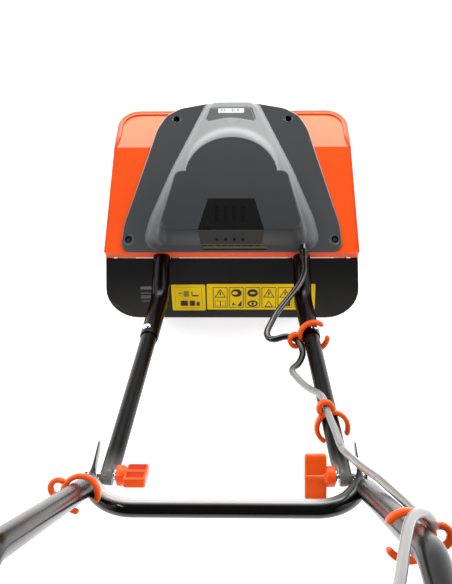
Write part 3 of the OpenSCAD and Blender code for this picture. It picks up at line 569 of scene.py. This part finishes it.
def build_cover():
    """The shell as rings of points from its middle to its outline, and its screw wells."""
    out = [Vector(q) for q in FLANGE]
    ring = []
    for a, b in zip(out, out[1:] + out[:1]):
        n = max(1, round((b - a).length / 1.7))
        ring += [a.lerp(b, k / n) for k in range(n)]
    c = Vector(COVER_MID)
    n, rings = len(ring), 120
    grid = []
    for j in range(rings):
        t = (j + 0.5) / rings
        grid += [c + (q - c) * t * (1 - 1.2 / (q - c).length) for q in ring]
    grid += [q + (c - q).normalized() * 0.9 for q in ring]
    p = np.array([(q.x, q.y) for q in grid])
    h = cover_height(p)
    spots = [(s * x, y) for x, y in ((154, 20), (87.5, 225)) for s in (-1, 1)]
    for sx, sy in spots:
        near = np.hypot(p[:, 0] - sx, p[:, 1] - sy)
        h = np.where(near < 6.4, 0.2 if sy < 100 else -7.0, h)
    badge = inside(p, rounded(BADGE))
    h = h - 0.9 * np.clip(badge / 1.5, 0, 1)
    verts = [cover(q[0], q[1], z) for q, z in zip(p, h)]
    verts += [cover(q.x, q.y, 2.1) for q in ring] + [cover(q.x, q.y, seat_height(q.y)) for q in ring]
    centre = len(verts)
    verts.append(cover(*COVER_MID, float(cover_height(np.array([COVER_MID], float))[0])))
    faces = [(centre, (k + 1) % n, k) for k in range(n)] + ring_faces(rings + 2, n)
    place("cover_shell", verts, faces, "chassis", "cover_grey", [M["cover_grey"]],
          replaced=["motor_cover"], sharp=60)
    build_screw_wells(spots)


def build_screw_wells(spots):
    """A round well with a raised lip at each screw, its floor and inner wall painted dark as shade."""
    collars = Parts()
    sides = 32
    turns = [2 * math.pi * k / sides for k in range(sides)]
    for sx, sy in spots:
        lip = []
        for r, w in ((5.4, -7.5), (5.4, 2.6), (5.8, 3.05), (7.6, 3.05), (7.8, 2.6)):
            lip += [cover(sx + r * math.cos(a), sy + r * math.sin(a), w) for a in turns]
        rim = ring_faces(4, sides)
        floor_w = 0.3 if sy < 100 else -6.9
        collars.add(prism([(sx + 5.6 * math.cos(a), sy + 5.6 * math.sin(a)) for a in turns],
                          cover, floor_w - 0.1, floor_w), 1)
        collars.add((lip, rim[:sides]), 1)
        collars.add((lip, rim[sides:]), 0)
    collars.place("cover_screw_wells", "chassis", "cover_grey", [M["cover_grey"], M["slot_dark"]])


def on_form(corners, nx, ny, lift):
    """A thin patch that follows the cover's form; corners are near left, near right, far."""
    (x0, u0), (x1, u1), (x2, u2), (x3, u3) = corners
    pts = []
    for j in range(ny + 1):
        t = j / ny
        for i in range(nx + 1):
            s = i / nx
            pts.append(((x0 + (x1 - x0) * s) * (1 - t) + (x2 + (x3 - x2) * s) * t,
                        (u0 + (u1 - u0) * s) * (1 - t) + (u2 + (u3 - u2) * s) * t))
    h = cover_height(np.array(pts, float)) + lift
    verts = [cover(x, u, w) for (x, u), w in zip(pts, h)]
    faces = [(j * (nx + 1) + i, j * (nx + 1) + i + 1, (j + 1) * (nx + 1) + i + 1, (j + 1) * (nx + 1) + i)
             for j in range(ny) for i in range(nx)]
    return verts, faces


def build_cover_details():
    """The vent insert, the blank plate in its recess and the rating label."""
    vent = Parts()
    vent.add(on_form([(-48.3, 17.0), (48.3, 17.0), (-34, 67.5), (34, 67.5)], 30, 40, 0.35))
    vent.add(on_form([(-45, 8.6), (45, 8.6), (-48.3, 17.0), (48.3, 17.0)], 30, 24, 0.35), 1)
    # The slots are dark patches laid on the insert: painted shade where the openings are.
    for i in range(4):
        x = -21 + 12.8 * i
        vent.add(on_form([(x - 2.4, 30), (x + 2.4, 30), (x - 2.2, 55), (x + 2.2, 55)], 3, 14, 0.6), 2)
        vent.add(on_form([(x - 2.2, 10.6), (x + 2.2, 10.6), (x - 2.0, 12.2), (x + 2.0, 12.2)], 3, 4, 0.6), 2)
    for i in range(9):
        x = -43.5 + 9.9 * i
        vent.add(on_form([(x, 6.4), (x + 7.4, 6.4), (x, 7.2), (x + 7.4, 7.2)], 3, 3, 0.5), 2)
    vent.place("vent_insert", "chassis", "black_plastic",
               [M["vent_gloss"], M["vent_brown"], M["slot_dark"]], replaced=["vent_grille"])
    plate = Parts()
    plate.add(on_form([(-22, 230.5), (18, 230.5), (-22, 241), (18, 241)], 6, 4, -0.55), 0)
    for x, w in ((-18, 1.6), (-15.2, 0.9), (-12.6, 1.4), (-1, 1.8), (2.4, 0.9), (7.5, 2.2)):
        plate.add(on_form([(x, 233), (x + w, 233), (x, 238.6), (x + w, 238.6)], 2, 3, -0.4), 1)
    plate.place("cover_plate", "chassis", "label_white", [M["label_white"], M["label_grey"]],
                replaced=["name_plate"], smooth=False)
    badge = Parts()
    badge.add(on_form([(-40.5, 216), (36.5, 216), (-32, 239.5), (28, 239.5)], 24, 14, -0.72))
    badge.place("cover_badge_recess", "chassis", "cover_grey", [M["cover_dark"]])
    rating = Parts()
    rating.add(on_form([(-41, 3.9), (53, 3.9), (-41, 6.3), (53, 6.3)], 16, 8, 0.45), 0)
    rating.add(on_form([(-41, 2.0), (53, 2.0), (-41, 3.9), (53, 3.9)], 16, 8, 0.45), 1)
    rating.place("rating_label", "chassis", "label_gold", [M["label_gold"], M["black_plastic"]],
                 replaced=["data_plate"], smooth=False)


# ---- hood bead -----------------------------------------------------------------------

def hood_top(y):
    """Height of the hood's top: up to the crease, then down to the front edge."""
    return HOOD_EDGE + 17 * y / 176 if y <= 176 else 33 - 11 * (y - 176) / 75


def build_hood_bead():
    """The raised bead along the front edge, thinning out along the sides."""
    edge = rounded([(190, -1, 0), (183, 176, 300), (178.5, 251, 34), (-178.5, 251, 34),
                    (-183, 176, 300), (-190, -1, 0)], 14)[1:-1]
    edge = [(190, 0.5)] + edge + [(-190, 0.5)]
    pts = [Vector(edge[0])]
    for q in edge[1:]:
        a, b = pts[-1], Vector(q)
        n = max(1, int((b - a).length / 5))
        pts += [a.lerp(b, k / n) for k in range(1, n + 1)]
    verts = []
    shape = [(0.0, -1.2), (-0.02, 0.35), (0.05, 0.7), (0.16, 0.93), (0.34, 1.0), (0.6, 0.97), (0.8, 0.75),
             (0.92, 0.4), (1.0, 0.0), (1.0, -0.3)]
    m = len(shape)
    for i, p in enumerate(pts):
        t = (pts[min(i + 1, len(pts) - 1)] - pts[max(i - 1, 0)]).normalized()
        inward = Vector((-t.y, t.x))
        if inward.dot(Vector((0, 100)) - p) < 0:
            inward = -inward
        s = ease(min(1.0, max(0.0, (p.y - 168) / 26)))
        w, h = 3.2 + 4.6 * s, 0.9 + 2.0 * s
        for du, dh in shape:
            q = p + inward * (du * w - 0.15)
            verts.append(deck(q.x, q.y, hood_top(q.y) + (dh * h if dh > 0 else dh * 0.9)))
    faces = ring_faces(len(pts) - 1, m) + end_faces(len(pts) - 1, m)
    place("hood_bead", verts, faces, "chassis", "hood_orange", [M["bead_orange"]], sharp=50)


# ---- labels on the apron -------------------------------------------------------------

def frame_lines(x0, x1, v0, v1, t, w):
    """The four lines of a rectangular frame."""
    bars = [(x0, x1, v0, v0 + t), (x0, x1, v1 - t, v1), (x0, x0 + t, v0, v1), (x1 - t, x1, v0, v1)]
    return [prism([(a, c), (b, c), (b, d), (a, d)], apron, w, w + 0.05) for a, b, c, d in bars]


def outline_triangle(x, v, size, t, w):
    """A hollow triangle pointing up the apron."""
    outer = [(x, v - size * 0.58), (x + size * 0.6, v + size * 0.42), (x - size * 0.6, v + size * 0.42)]
    shapes = []
    for i in range(3):
        a, b = Vector(outer[i]), Vector(outer[(i + 1) % 3])
        c = Vector((x, v + size * 0.08))
        ia, ib = a.lerp(c, t / size * 2.2), b.lerp(c, t / size * 2.2)
        shapes.append(prism([tuple(a), tuple(b), tuple(ib), tuple(ia)], apron, w, w + 0.05))
    return shapes


def disc(x, v, rx, rv, w):
    """A filled ellipse on the apron."""
    return prism([(x + rx * math.cos(math.pi * k / 12), v + rv * math.sin(math.pi * k / 12))
                  for k in range(24)], apron, w, w + 0.05)


def bar(x0, x1, v0, v1, w):
    """A filled rectangle on the apron."""
    return prism([(x0, v0), (x1, v0), (x1, v1), (x0, v1)], apron, w, w + 0.05)


def build_labels():
    """Two yellow labels with plain signs, and pale print beside them."""
    top = 0.5
    right = Parts()
    right.add(prism(rounded([(-38.5, 45, 2), (127, 45, 2), (127, 89.5, 2), (-38.5, 89.5, 2)]),
                    apron, 0.02, top))
    for i in range(6):
        x0 = -29.2 + 24.8 * i
        xm = x0 + 11.2
        right.add_all(frame_lines(x0, x0 + 22.4, 50.5, 86, 1.0, top), 1)
        if i in (0, 3, 4):
            right.add_all(outline_triangle(xm, 62, 15, 1.7, top), 1)
            right.add(bar(xm - 1.0, xm + 1.0, 58.5, 64.5, top), 1)
        else:
            right.add(disc(xm, 60.5, 8.2, 6.8, top), 1)
            right.add(disc(xm - (2 if i == 1 else 0), 60.5, 4.4, 1.8 + (i == 1), top + 0.06), 0)
        if i == 0:
            for s in (-1, 1):
                right.add_all(frame_lines(xm + min(0, s * 8.5), xm + max(0, s * 8.5), 74, 83.5, 0.7, top),
                              1)
        elif i == 2:
            right.add(disc(xm, 79, 8.2, 5.6, top), 1)
            right.add(disc(xm, 79, 5.2, 3.0, top + 0.06), 0)
            right.add(disc(xm, 79, 2.2, 2.2, top + 0.12), 1)
        elif i == 3:
            right.add_all(outline_triangle(xm, 80, 11, 1.5, top), 1)
        else:
            right.add(bar(xm - 7, xm - 1, 80.5, 82, top), 1)
            right.add(disc(xm - 5, 79, 1.3, 1.6, top), 1)
            right.add(prism([(xm + 1, 83.5), (xm + 8, 73.5), (xm + 8, 83.5)], apron, top, top + 0.05), 1)
    right.place("warning_label_right", "chassis", "label_yellow", [M["label_yellow"], M["label_print"]],
                replaced=["info_label_right"], smooth=False)
    left = Parts()
    left.add(prism(rounded([(-93, 46, 2), (-41, 46, 2), (-40.5, 91, 2), (-91.5, 91, 2)]),
                   apron, 0.02, top))
    left.add_all(frame_lines(-87.5, -46, 50, 87, 0.5, top), 2)
    for a, b, c, d, m in ((-82, -76, 60, 62, 2), (-74, -66, 57, 67, 2), (-62, -60.5, 58, 66, 1),
                          (-60, -51, 64, 66.5, 1), (-79, -68, 74, 83, 1), (-65, -57, 74, 83, 1),
                          (-54.5, -50, 76, 83, 1)):
        left.add(bar(a, b, c, d, top), m)
    left.place("warning_label_left", "chassis", "label_yellow",
               [M["label_yellow"], M["label_print"], M["label_faint"]],
               replaced=["info_label_left"], smooth=False)
    bars = Parts()
    for a, b, c, d in ((-140, -122, 49.5, 54.5), (-140, -122, 60, 61.5), (-140, -123, 65, 67),
                       (-140, -125, 68, 70), (-140, -122, 74, 75.5)):
        bars.add(prism([(a, c), (b, c), (b, d), (a, d)], apron, 0.02, 0.12))
    bars.place("apron_print", "chassis", "label_white", [M["pale_print"]], smooth=False)


# ---- tubes ---------------------------------------------------------------------------

FOLD = Vector((137.5, -383.114, 173.562))
SLEEVE = Vector((105, -70, 0))
TUBE_DIR = (FOLD - SLEEVE).normalized()
UPPER = Vector((162.5, -399.714, 184.262))


def leaning(degrees):
    """A direction toward the user, raised by an angle."""
    return Vector((0, -math.cos(math.radians(degrees)), math.sin(math.radians(degrees))))


MIDDLE_ANGLE = 29
UPPER_DIR = leaning(68.8)
KNEE = UPPER + 430 * UPPER_DIR
GRIP = Vector((0, -724.8, 755.3))
BRACE_DIR = leaning(32.8)
BRACE_X = 156.4
SLEEVE_LEN, SCREW_AT = 93, 82
SLEEVE_R, MIDDLE_R, UPPER_R, LEAD_R = 13.0, 11.0, 12.0, 4.5


def flip(p):
    """The same point on the left side."""
    return Vector((-p.x, p.y, p.z))


def build_upper_handle():
    """The one-piece upper tube: side, knee, grip, knee, side."""
    corner = Vector((UPPER.x, GRIP.y, GRIP.z))
    pts = spaced(fillet_path([(*flip(UPPER), 0), (*flip(KNEE), 90), (*flip(corner), 60), (*corner, 60),
                              (*KNEE, 90), (*UPPER, 0)]), 14)
    last = len(pts) - 1
    v, f = sweep(pts, lambda i: (UPPER_R, UPPER_R) if 0 < i < last else (11.4, 11.4), 36)
    place("handle_loop_tube", v, f, "upper_frame", "tube_black", [M["handle_black"]],
          replaced=["upper_handle"])


def build_brace():
    """The U-shaped brace: thin pointed ends, flat at the bolts, round along the crossbar."""
    def at(x, d):
        return Vector((x, FOLD.y, FOLD.z)) + BRACE_DIR * d

    pts = spaced(fillet_path([(*at(-BRACE_X, -60), 0), (*at(-BRACE_X, 54), 52), (*at(BRACE_X, 54), 52),
                              (*at(BRACE_X, -60), 0)], 2.5), 3)
    normal = Vector((1, 0, 0)).cross(BRACE_DIR)

    def section(i):
        p = pts[i]
        d = (p - Vector((p.x, FOLD.y, FOLD.z))).dot(BRACE_DIR)
        if abs(p.x) < 150:
            d = 60
        stops = ((-60, 1.2, 3.0), (-57, 1.5, 6.0), (-50, 1.7, 8.5), (-30, 2.0, 10.0), (-12, 2.6, 11.5),
                 (0, 4.2, 12.0), (10, 7.0, 12.0), (22, 10.4, 11.4), (34, 11.2, 11.2), (90, 11.2, 11.2))
        for (d0, a0, b0), (d1, a1, b1) in zip(stops, stops[1:]):
            if d <= d1:
                t = ease(max(0.0, (d - d0) / (d1 - d0)))
                return a0 + (a1 - a0) * t, b0 + (b1 - b0) * t
        return 11.0, 11.0

    v, f = sweep(pts, section, 36, normal)
    place("brace_loop", v, f, "upper_frame", "tube_black", [M["brace_black"]], replaced=["cross_brace"])


def build_lower_tubes():
    """On each side a bent sleeve and a middle tube whose end is pressed flat inside."""
    sides = 36
    for name, side in (("left", -1), ("right", 1)):
        def s(p):
            return Vector((side * p.x, p.y, p.z))

        front = Vector((SLEEVE.x, 50, 0))
        pts = spaced(fillet_path([(*s(front), 0), (*s(SLEEVE), 60),
                                  (*s(SLEEVE + TUBE_DIR * SLEEVE_LEN), 0)], 3), 5)
        last = len(pts) - 1
        v, f = sweep(pts, lambda i: (SLEEVE_R, SLEEVE_R) if 0 < i < last else (12.5, 12.5), sides)
        place("sleeve_tube_" + name, v, f, "chassis", "tube_black", [M["sleeve_black"]],
              replaced=["lower_sleeve_" + name])
        a, b = s(SLEEVE + TUBE_DIR * 40), s(FOLD + TUBE_DIR * 12)
        pts = spaced([a, b], 3)
        along = (b - a).normalized()
        inner = Vector((-side, 0, 0))
        inner = (inner - along * inner.dot(along)).normalized()
        wide = along.cross(inner)
        verts = []
        for p in pts:
            left_over = (b - p).length
            flat = 4.9 + (MIDDLE_R - 4.9) * ease(min(1.0, max(0.0, (left_over - 18) / 26)))
            tip = math.sqrt(max(0.05, 1 - (1 - min(1.0, left_over / 10)) ** 2))
            for k in range(sides):
                w = 2 * math.pi * k / sides
                x, y = MIDDLE_R * math.cos(w), MIDDLE_R * math.sin(w) * tip
                verts.append(deck(*(p + inner * min(x, flat) + wide * y)))
        rows = len(pts) - 1
        faces = ring_faces(rows, sides) + end_faces(rows, sides)
        place("middle_tube_skin_" + name, verts, faces, "chassis", "tube_black", [M["middle_black"]],
              replaced=["middle_tube_" + name])


# ---- knobs, screws and clips ---------------------------------------------------------

def build_knobs():
    """Wing knobs: hub, stem and a flat wing with a panel on each face."""
    hub, wing, wing_mid, panel_mid = 128.4, 26.5, 105.5, 105.4
    for name, side, turn in (("left", -1, -55), ("right", 1, 26)):
        parts = Parts()

        def wing_point(x, a, b):
            """Across the machine, along the wing, through its thickness."""
            c, s = math.cos(math.radians(turn)), math.sin(math.radians(turn))
            return deck(side * x, FOLD.y + a * c - b * s, FOLD.z + a * s + b * c)

        at, axis = (side * hub, FOLD.y, FOLD.z), (-side, 0, 0)
        parts.add(lathe([(10.8, 0), (11.8, 0.4), (12.4, 1.4), (12.3, 9.4), (11.7, 10.6), (10.6, 11.2)],
                        at, axis, 48))
        parts.add(lathe([(10.4, 10), (8.0, 12.5), (7.0, 14), (6.8, 34.0), (6.0, 35.4), (4.5, 36)],
                        at, axis, 40))
        outline = rounded([(118.2, -wing, 3), (92.6, -wing, 3), (92.6, wing, 3), (118.2, wing, 3)], 6)
        n = len(outline)
        rings = ((-6, 0.93), (-5.6, 0.97), (-4.6, 1.0), (4.6, 1.0), (5.6, 0.97), (6, 0.93))
        verts = []
        for w, k in rings:
            verts += [wing_point(wing_mid + (x - wing_mid) * k, a * k, w) for x, a in outline]
        rows = len(rings) - 1
        parts.add((verts, end_faces(rows, n) + ring_faces(rows, n)))
        panel = [(panel_mid + (x - panel_mid) * 0.8, a * 0.89) for x, a in outline]
        # The left knob's panels take the darker face colour as painted shade; the right knob's stay plain
        # orange.
        for s in (-1, 1):
            parts.add(prism(panel, wing_point, 5.9 * s, 6.15 * s), 1 if side < 0 else 0)
        parts.place("wing_knob_" + name, "knob_" + name, "knob_orange", [M["knob_orange"], M["knob_face"]],
                    replaced=["knob_" + name])


def build_tube_screws():
    """The dome screws that hold the sleeves, leaning outward."""
    heads = Parts()
    crown = Vector((0, math.sin(math.radians(MIDDLE_ANGLE)), math.cos(math.radians(MIDDLE_ANGLE))))
    lean = (crown + Vector((0.33, 0, 0)) - TUBE_DIR * 0.33 * TUBE_DIR.x).normalized()
    for side in (-1, 1):
        p = SLEEVE + TUBE_DIR * SCREW_AT
        at, up = Vector((side * p.x, p.y, p.z)), Vector((side * lean.x, lean.y, lean.z))
        heads.add(lathe([(6.3, 12.4), (6.5, 13.0), (6.4, 13.6), (5.6, 14.9), (4.2, 15.8), (2.4, 16.2),
                         (0.4, 16.3)], at, up, 40))
        heads.add(lathe([(3.0, -15), (3.0, 12.5)], at, up, 24))
    heads.place("dome_screws", "chassis", "zinc_chrome", [M["zinc_chrome"]], replaced=["tube_screws"])


def build_clip(name, node, at, direction, tube_d, turn, mouth, gape, body):
    """An open ring that leans on the tube, with a small ring for the lead on its outside."""
    w = direction.normalized()
    v = w.cross(Vector((1, 0, 0))).normalized()
    u = v.cross(w)
    out = Vector((math.cos(math.radians(turn)), math.sin(math.radians(turn))))
    inner, wall, loop_out = 16.5, 6, 9
    ring = out * (tube_d / 2 + 0.2 - inner)
    parts = Parts()
    loop = [(math.copysign(3.0, a) * p, math.copysign(5.6, b) * q) for a, b, p, q in
            ((-1, -1, 1, 0.7), (-1, -1, 0.82, 0.9), (-1, -1, 0.5, 1), (1, -1, 0.5, 1), (1, -1, 0.82, 0.9),
             (1, -1, 1, 0.7), (1, 1, 1, 0.7), (1, 1, 0.82, 0.9), (1, 1, 0.5, 1), (-1, 1, 0.5, 1),
             (-1, 1, 0.82, 0.9), (-1, 1, 1, 0.7))]
    m = len(loop)

    def sweep_arc(centre, radius, a0, a1, count):
        verts = []
        for i in range(count + 1):
            a = math.radians(a0 + (a1 - a0) * i / count)
            end = min(i, count - i)
            k = (0.45, 0.8, 0.95)[end] if end < 3 else 1.0
            for dr, dw in loop:
                p = centre + (radius + dr * k) * Vector((math.cos(a), math.sin(a)))
                verts.append(deck(*(at + u * p.x + v * p.y + w * dw * (0.6 + 0.4 * k))))
        parts.add((verts, ring_faces(count, m) + end_faces(count, m)))

    sweep_arc(ring, inner + wall / 2, mouth + gape, mouth - gape + 360, 96)
    sweep_arc(ring + out * (inner + loop_out), 8.5, turn - 125, turn + 125, 60)
    parts.place(name, body, "knob_orange", [M["knob_orange"]], replaced=[node], sharp=50)


def tipped(a):
    """Direction of the middle tubes tipped up by a further angle."""
    up = math.radians(MIDDLE_ANGLE + a)
    return Vector((TUBE_DIR.x, -math.cos(up), math.sin(up)))


def build_clips():
    """Two clips on the right lower tube and one on each side of the upper handle."""
    build_clip("lead_clip_bend", "cable_clip_bend", SLEEVE + TUBE_DIR * 92 + Vector((0, 1.2, 1.2)),
               tipped(25), 26, 192, 25, 25, "chassis")
    build_clip("lead_clip_middle", "cable_clip_middle", SLEEVE + TUBE_DIR * 268, tipped(30), 22, 110,
               -73, 44, "chassis")
    build_clip("lead_clip_left", "cable_clip_left", flip(UPPER) + UPPER_DIR * 60, UPPER_DIR, 24, 165,
               -60, 35, "upper_frame")
    build_clip("lead_clip_right", "cable_clip_right", UPPER + UPPER_DIR * 345, UPPER_DIR, 24, 0, 180,
               30, "upper_frame")


# ---- lead ----------------------------------------------------------------------------

LEAD_LOW = [(107, -12, 23), (107, -33, 21), (99, -55, 21), (84, -77, 22), (67, -102, 26),
            (58, -121, 30), (52, -137, 34), (54, -147, 37), (63, -150, 39), (77, -147, 41),
            (89, -150, 43), (96, -160, 49), (100, -176, 56), (98, -188, 62), (93, -199, 68),
            (86, -207, 73), (85, -214, 77), (90, -223, 82), (98, -236, 91), (107, -249, 105),
            (115, -260, 121), (120, -270, 131), (123, -282, 137), (126, -299, 147),
            (132, -324, 161), (137, -347, 173)]
LEAD_MID = [(137, -347, 173), (143, -361, 188), (148, -374, 210), (153, -389, 237),
            (158, -403, 264), (164, -419, 295)]
LEAD_HIGH = [(164, -419, 295), (172, -443, 337), (178, -466, 380), (181, -490, 430),
             (181, -510, 478), (179, -518, 508), (172, -516, 532), (161, -517, 552),
             (150, -528, 572), (141, -552, 598), (131, -584, 630), (116, -622, 664),
             (100, -656, 692), (90, -676, 706), (88, -692, 722)]


def build_lead():
    """One smooth line cut into three stretches: on each side of the fold, and across it."""
    per = 6
    line = catmull(LEAD_LOW + LEAD_MID[1:] + LEAD_HIGH[1:], per)
    i0, i1 = per * (len(LEAD_LOW) - 1), per * (len(LEAD_LOW) + len(LEAD_MID) - 2)
    stretches = (("lead_lower", line[:i0 + 1], "cable_lower", "chassis"),
                 ("lead_upper", line[i1:], "cable_upper", "upper_frame"),
                 ("lead_fold", line[i0:i1 + 1], "cable_bend", None))
    for name, pts, node, body in stretches:
        v, f = sweep(pts, lambda i: (LEAD_R, LEAD_R), 20)
        if body:
            place(name, v, f, body, "cable_black", [M["cable_black"]], replaced=[node])
            continue
        me = bpy.data.meshes.new(name)
        me.from_pydata([tuple(p) for p in v], [], f)
        me.materials.append(M["cable_black"])
        me.polygons.foreach_set("use_smooth", [True] * len(me.polygons))
        ob = bpy.data.objects.new(name, me)
        bpy.context.scene.collection.objects.link(ob)
        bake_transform(ob)
        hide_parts(node)


build_cover()
build_cover_details()
build_hood_bead()
build_labels()
build_upper_handle()
build_brace()
build_lower_tubes()
build_knobs()
build_tube_screws()
build_clips()
build_lead()

# ---- camera, light and floor ---------------------------------------------------------

SKY = {"foot": (0.1, 0.32, 0.3, 1.0), "low": (0.66, 0.84, 1.0, 0.0), "ahead": (-0.05, 0.5, 0.0, 1.75),
       "side": (0.55, 0.95, 0.0, 1.1), "base": 0.06}


def camera():
    """The view from behind and above."""
    cam = bpy.data.cameras.new("photo_camera")
    cam.lens = 61.64
    cam.sensor_width = 36
    cam.sensor_fit = "AUTO"
    ob = bpy.data.objects.new("photo_camera", cam)
    bpy.context.scene.collection.objects.link(ob)
    p, yaw = math.radians(64), 0.0269
    ahead = Vector((0, math.cos(p), -math.sin(p)))
    up = Vector((0, math.sin(p), math.cos(p)))
    right = Vector((1, 0, 0))
    fwd = ahead * math.cos(yaw) - right * math.sin(yaw)
    side = right * math.cos(yaw) + ahead * math.sin(yaw)
    rot = Matrix((side, up, -fwd)).transposed()
    ob.matrix_world = Matrix.Translation(deck(32, -704, 1325.5)) @ rot.to_4x4()
    cam.clip_start, cam.clip_end = 0.05, 50
    bpy.context.scene.camera = ob


def area_light(name, at, target, size, power):
    """A soft rectangular lamp turned toward a point."""
    light = bpy.data.lights.new(name, "AREA")
    light.shape = "RECTANGLE"
    light.size, light.size_y = size
    light.energy = power
    ob = bpy.data.objects.new(name, light)
    bpy.context.scene.collection.objects.link(ob)
    ob.location = at
    ob.rotation_mode = "QUATERNION"
    ob.rotation_quaternion = (Vector(target) - Vector(at)).to_track_quat("-Z", "Y")
    ob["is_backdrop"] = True


def floor():
    """A plain pale floor."""
    me = bpy.data.meshes.new("floor")
    me.from_pydata([(-30, -30, 0), (30, -30, 0), (30, 30, 0), (-30, 30, 0)], [], [(0, 1, 2, 3)])
    ob = bpy.data.objects.new("floor", me)
    bpy.context.scene.collection.objects.link(ob)
    paper = material("floor_paper", (0.86, 0.86, 0.86), 0.9, grain=3, bump=0.02, tone=0.01, spec=0.1)
    shader = next(n for n in paper.node_tree.nodes if n.type == "BSDF_PRINCIPLED")
    shader.inputs["Emission Color"].default_value = (1, 1, 1, 1)
    shader.inputs["Emission Strength"].default_value = 0.72
    me.materials.append(paper)
    ob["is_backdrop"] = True


def world():
    """A pale surround that is bright low down ahead and at the sides, and dark overhead."""
    w = bpy.data.worlds.new("studio")
    w.use_nodes = True
    nt = w.node_tree
    link = nt.links.new
    coord = nt.nodes.new("ShaderNodeTexCoord")
    split = nt.nodes.new("ShaderNodeSeparateXYZ")
    link(coord.outputs["Generated"], split.inputs["Vector"])

    low = calc(nt, "MULTIPLY", span(nt, split.outputs["Z"], *SKY["low"]),
               span(nt, split.outputs["Z"], *SKY["foot"]))
    ahead = span(nt, split.outputs["Y"], *SKY["ahead"])
    side = span(nt, calc(nt, "ABSOLUTE", split.outputs["X"], 0.0), *SKY["side"])
    level = calc(nt, "ADD", calc(nt, "MULTIPLY", low, calc(nt, "MAXIMUM", ahead, side)), SKY["base"])
    link(level, nt.nodes["Background"].inputs["Strength"])
    nt.nodes["Background"].inputs["Color"].default_value = (1, 1, 1, 1)
    bpy.context.scene.world = w


camera()
world()
floor()
area_light("key", (-1.4, -0.2, 2.4), (0, 0.2, 0.3), (1.0, 1.0), 22)
area_light("front", (0.2, 3.0, 2.2), (0, 0.2, 0.2), (3.2, 1.0), 60)
area_light("right", (2.2, 0.2, 1.5), (0, 0, 0.3), (0.8, 1.8), 22)
bpy.context.scene.view_settings.view_transform = "Standard"

write_sizes("finished")
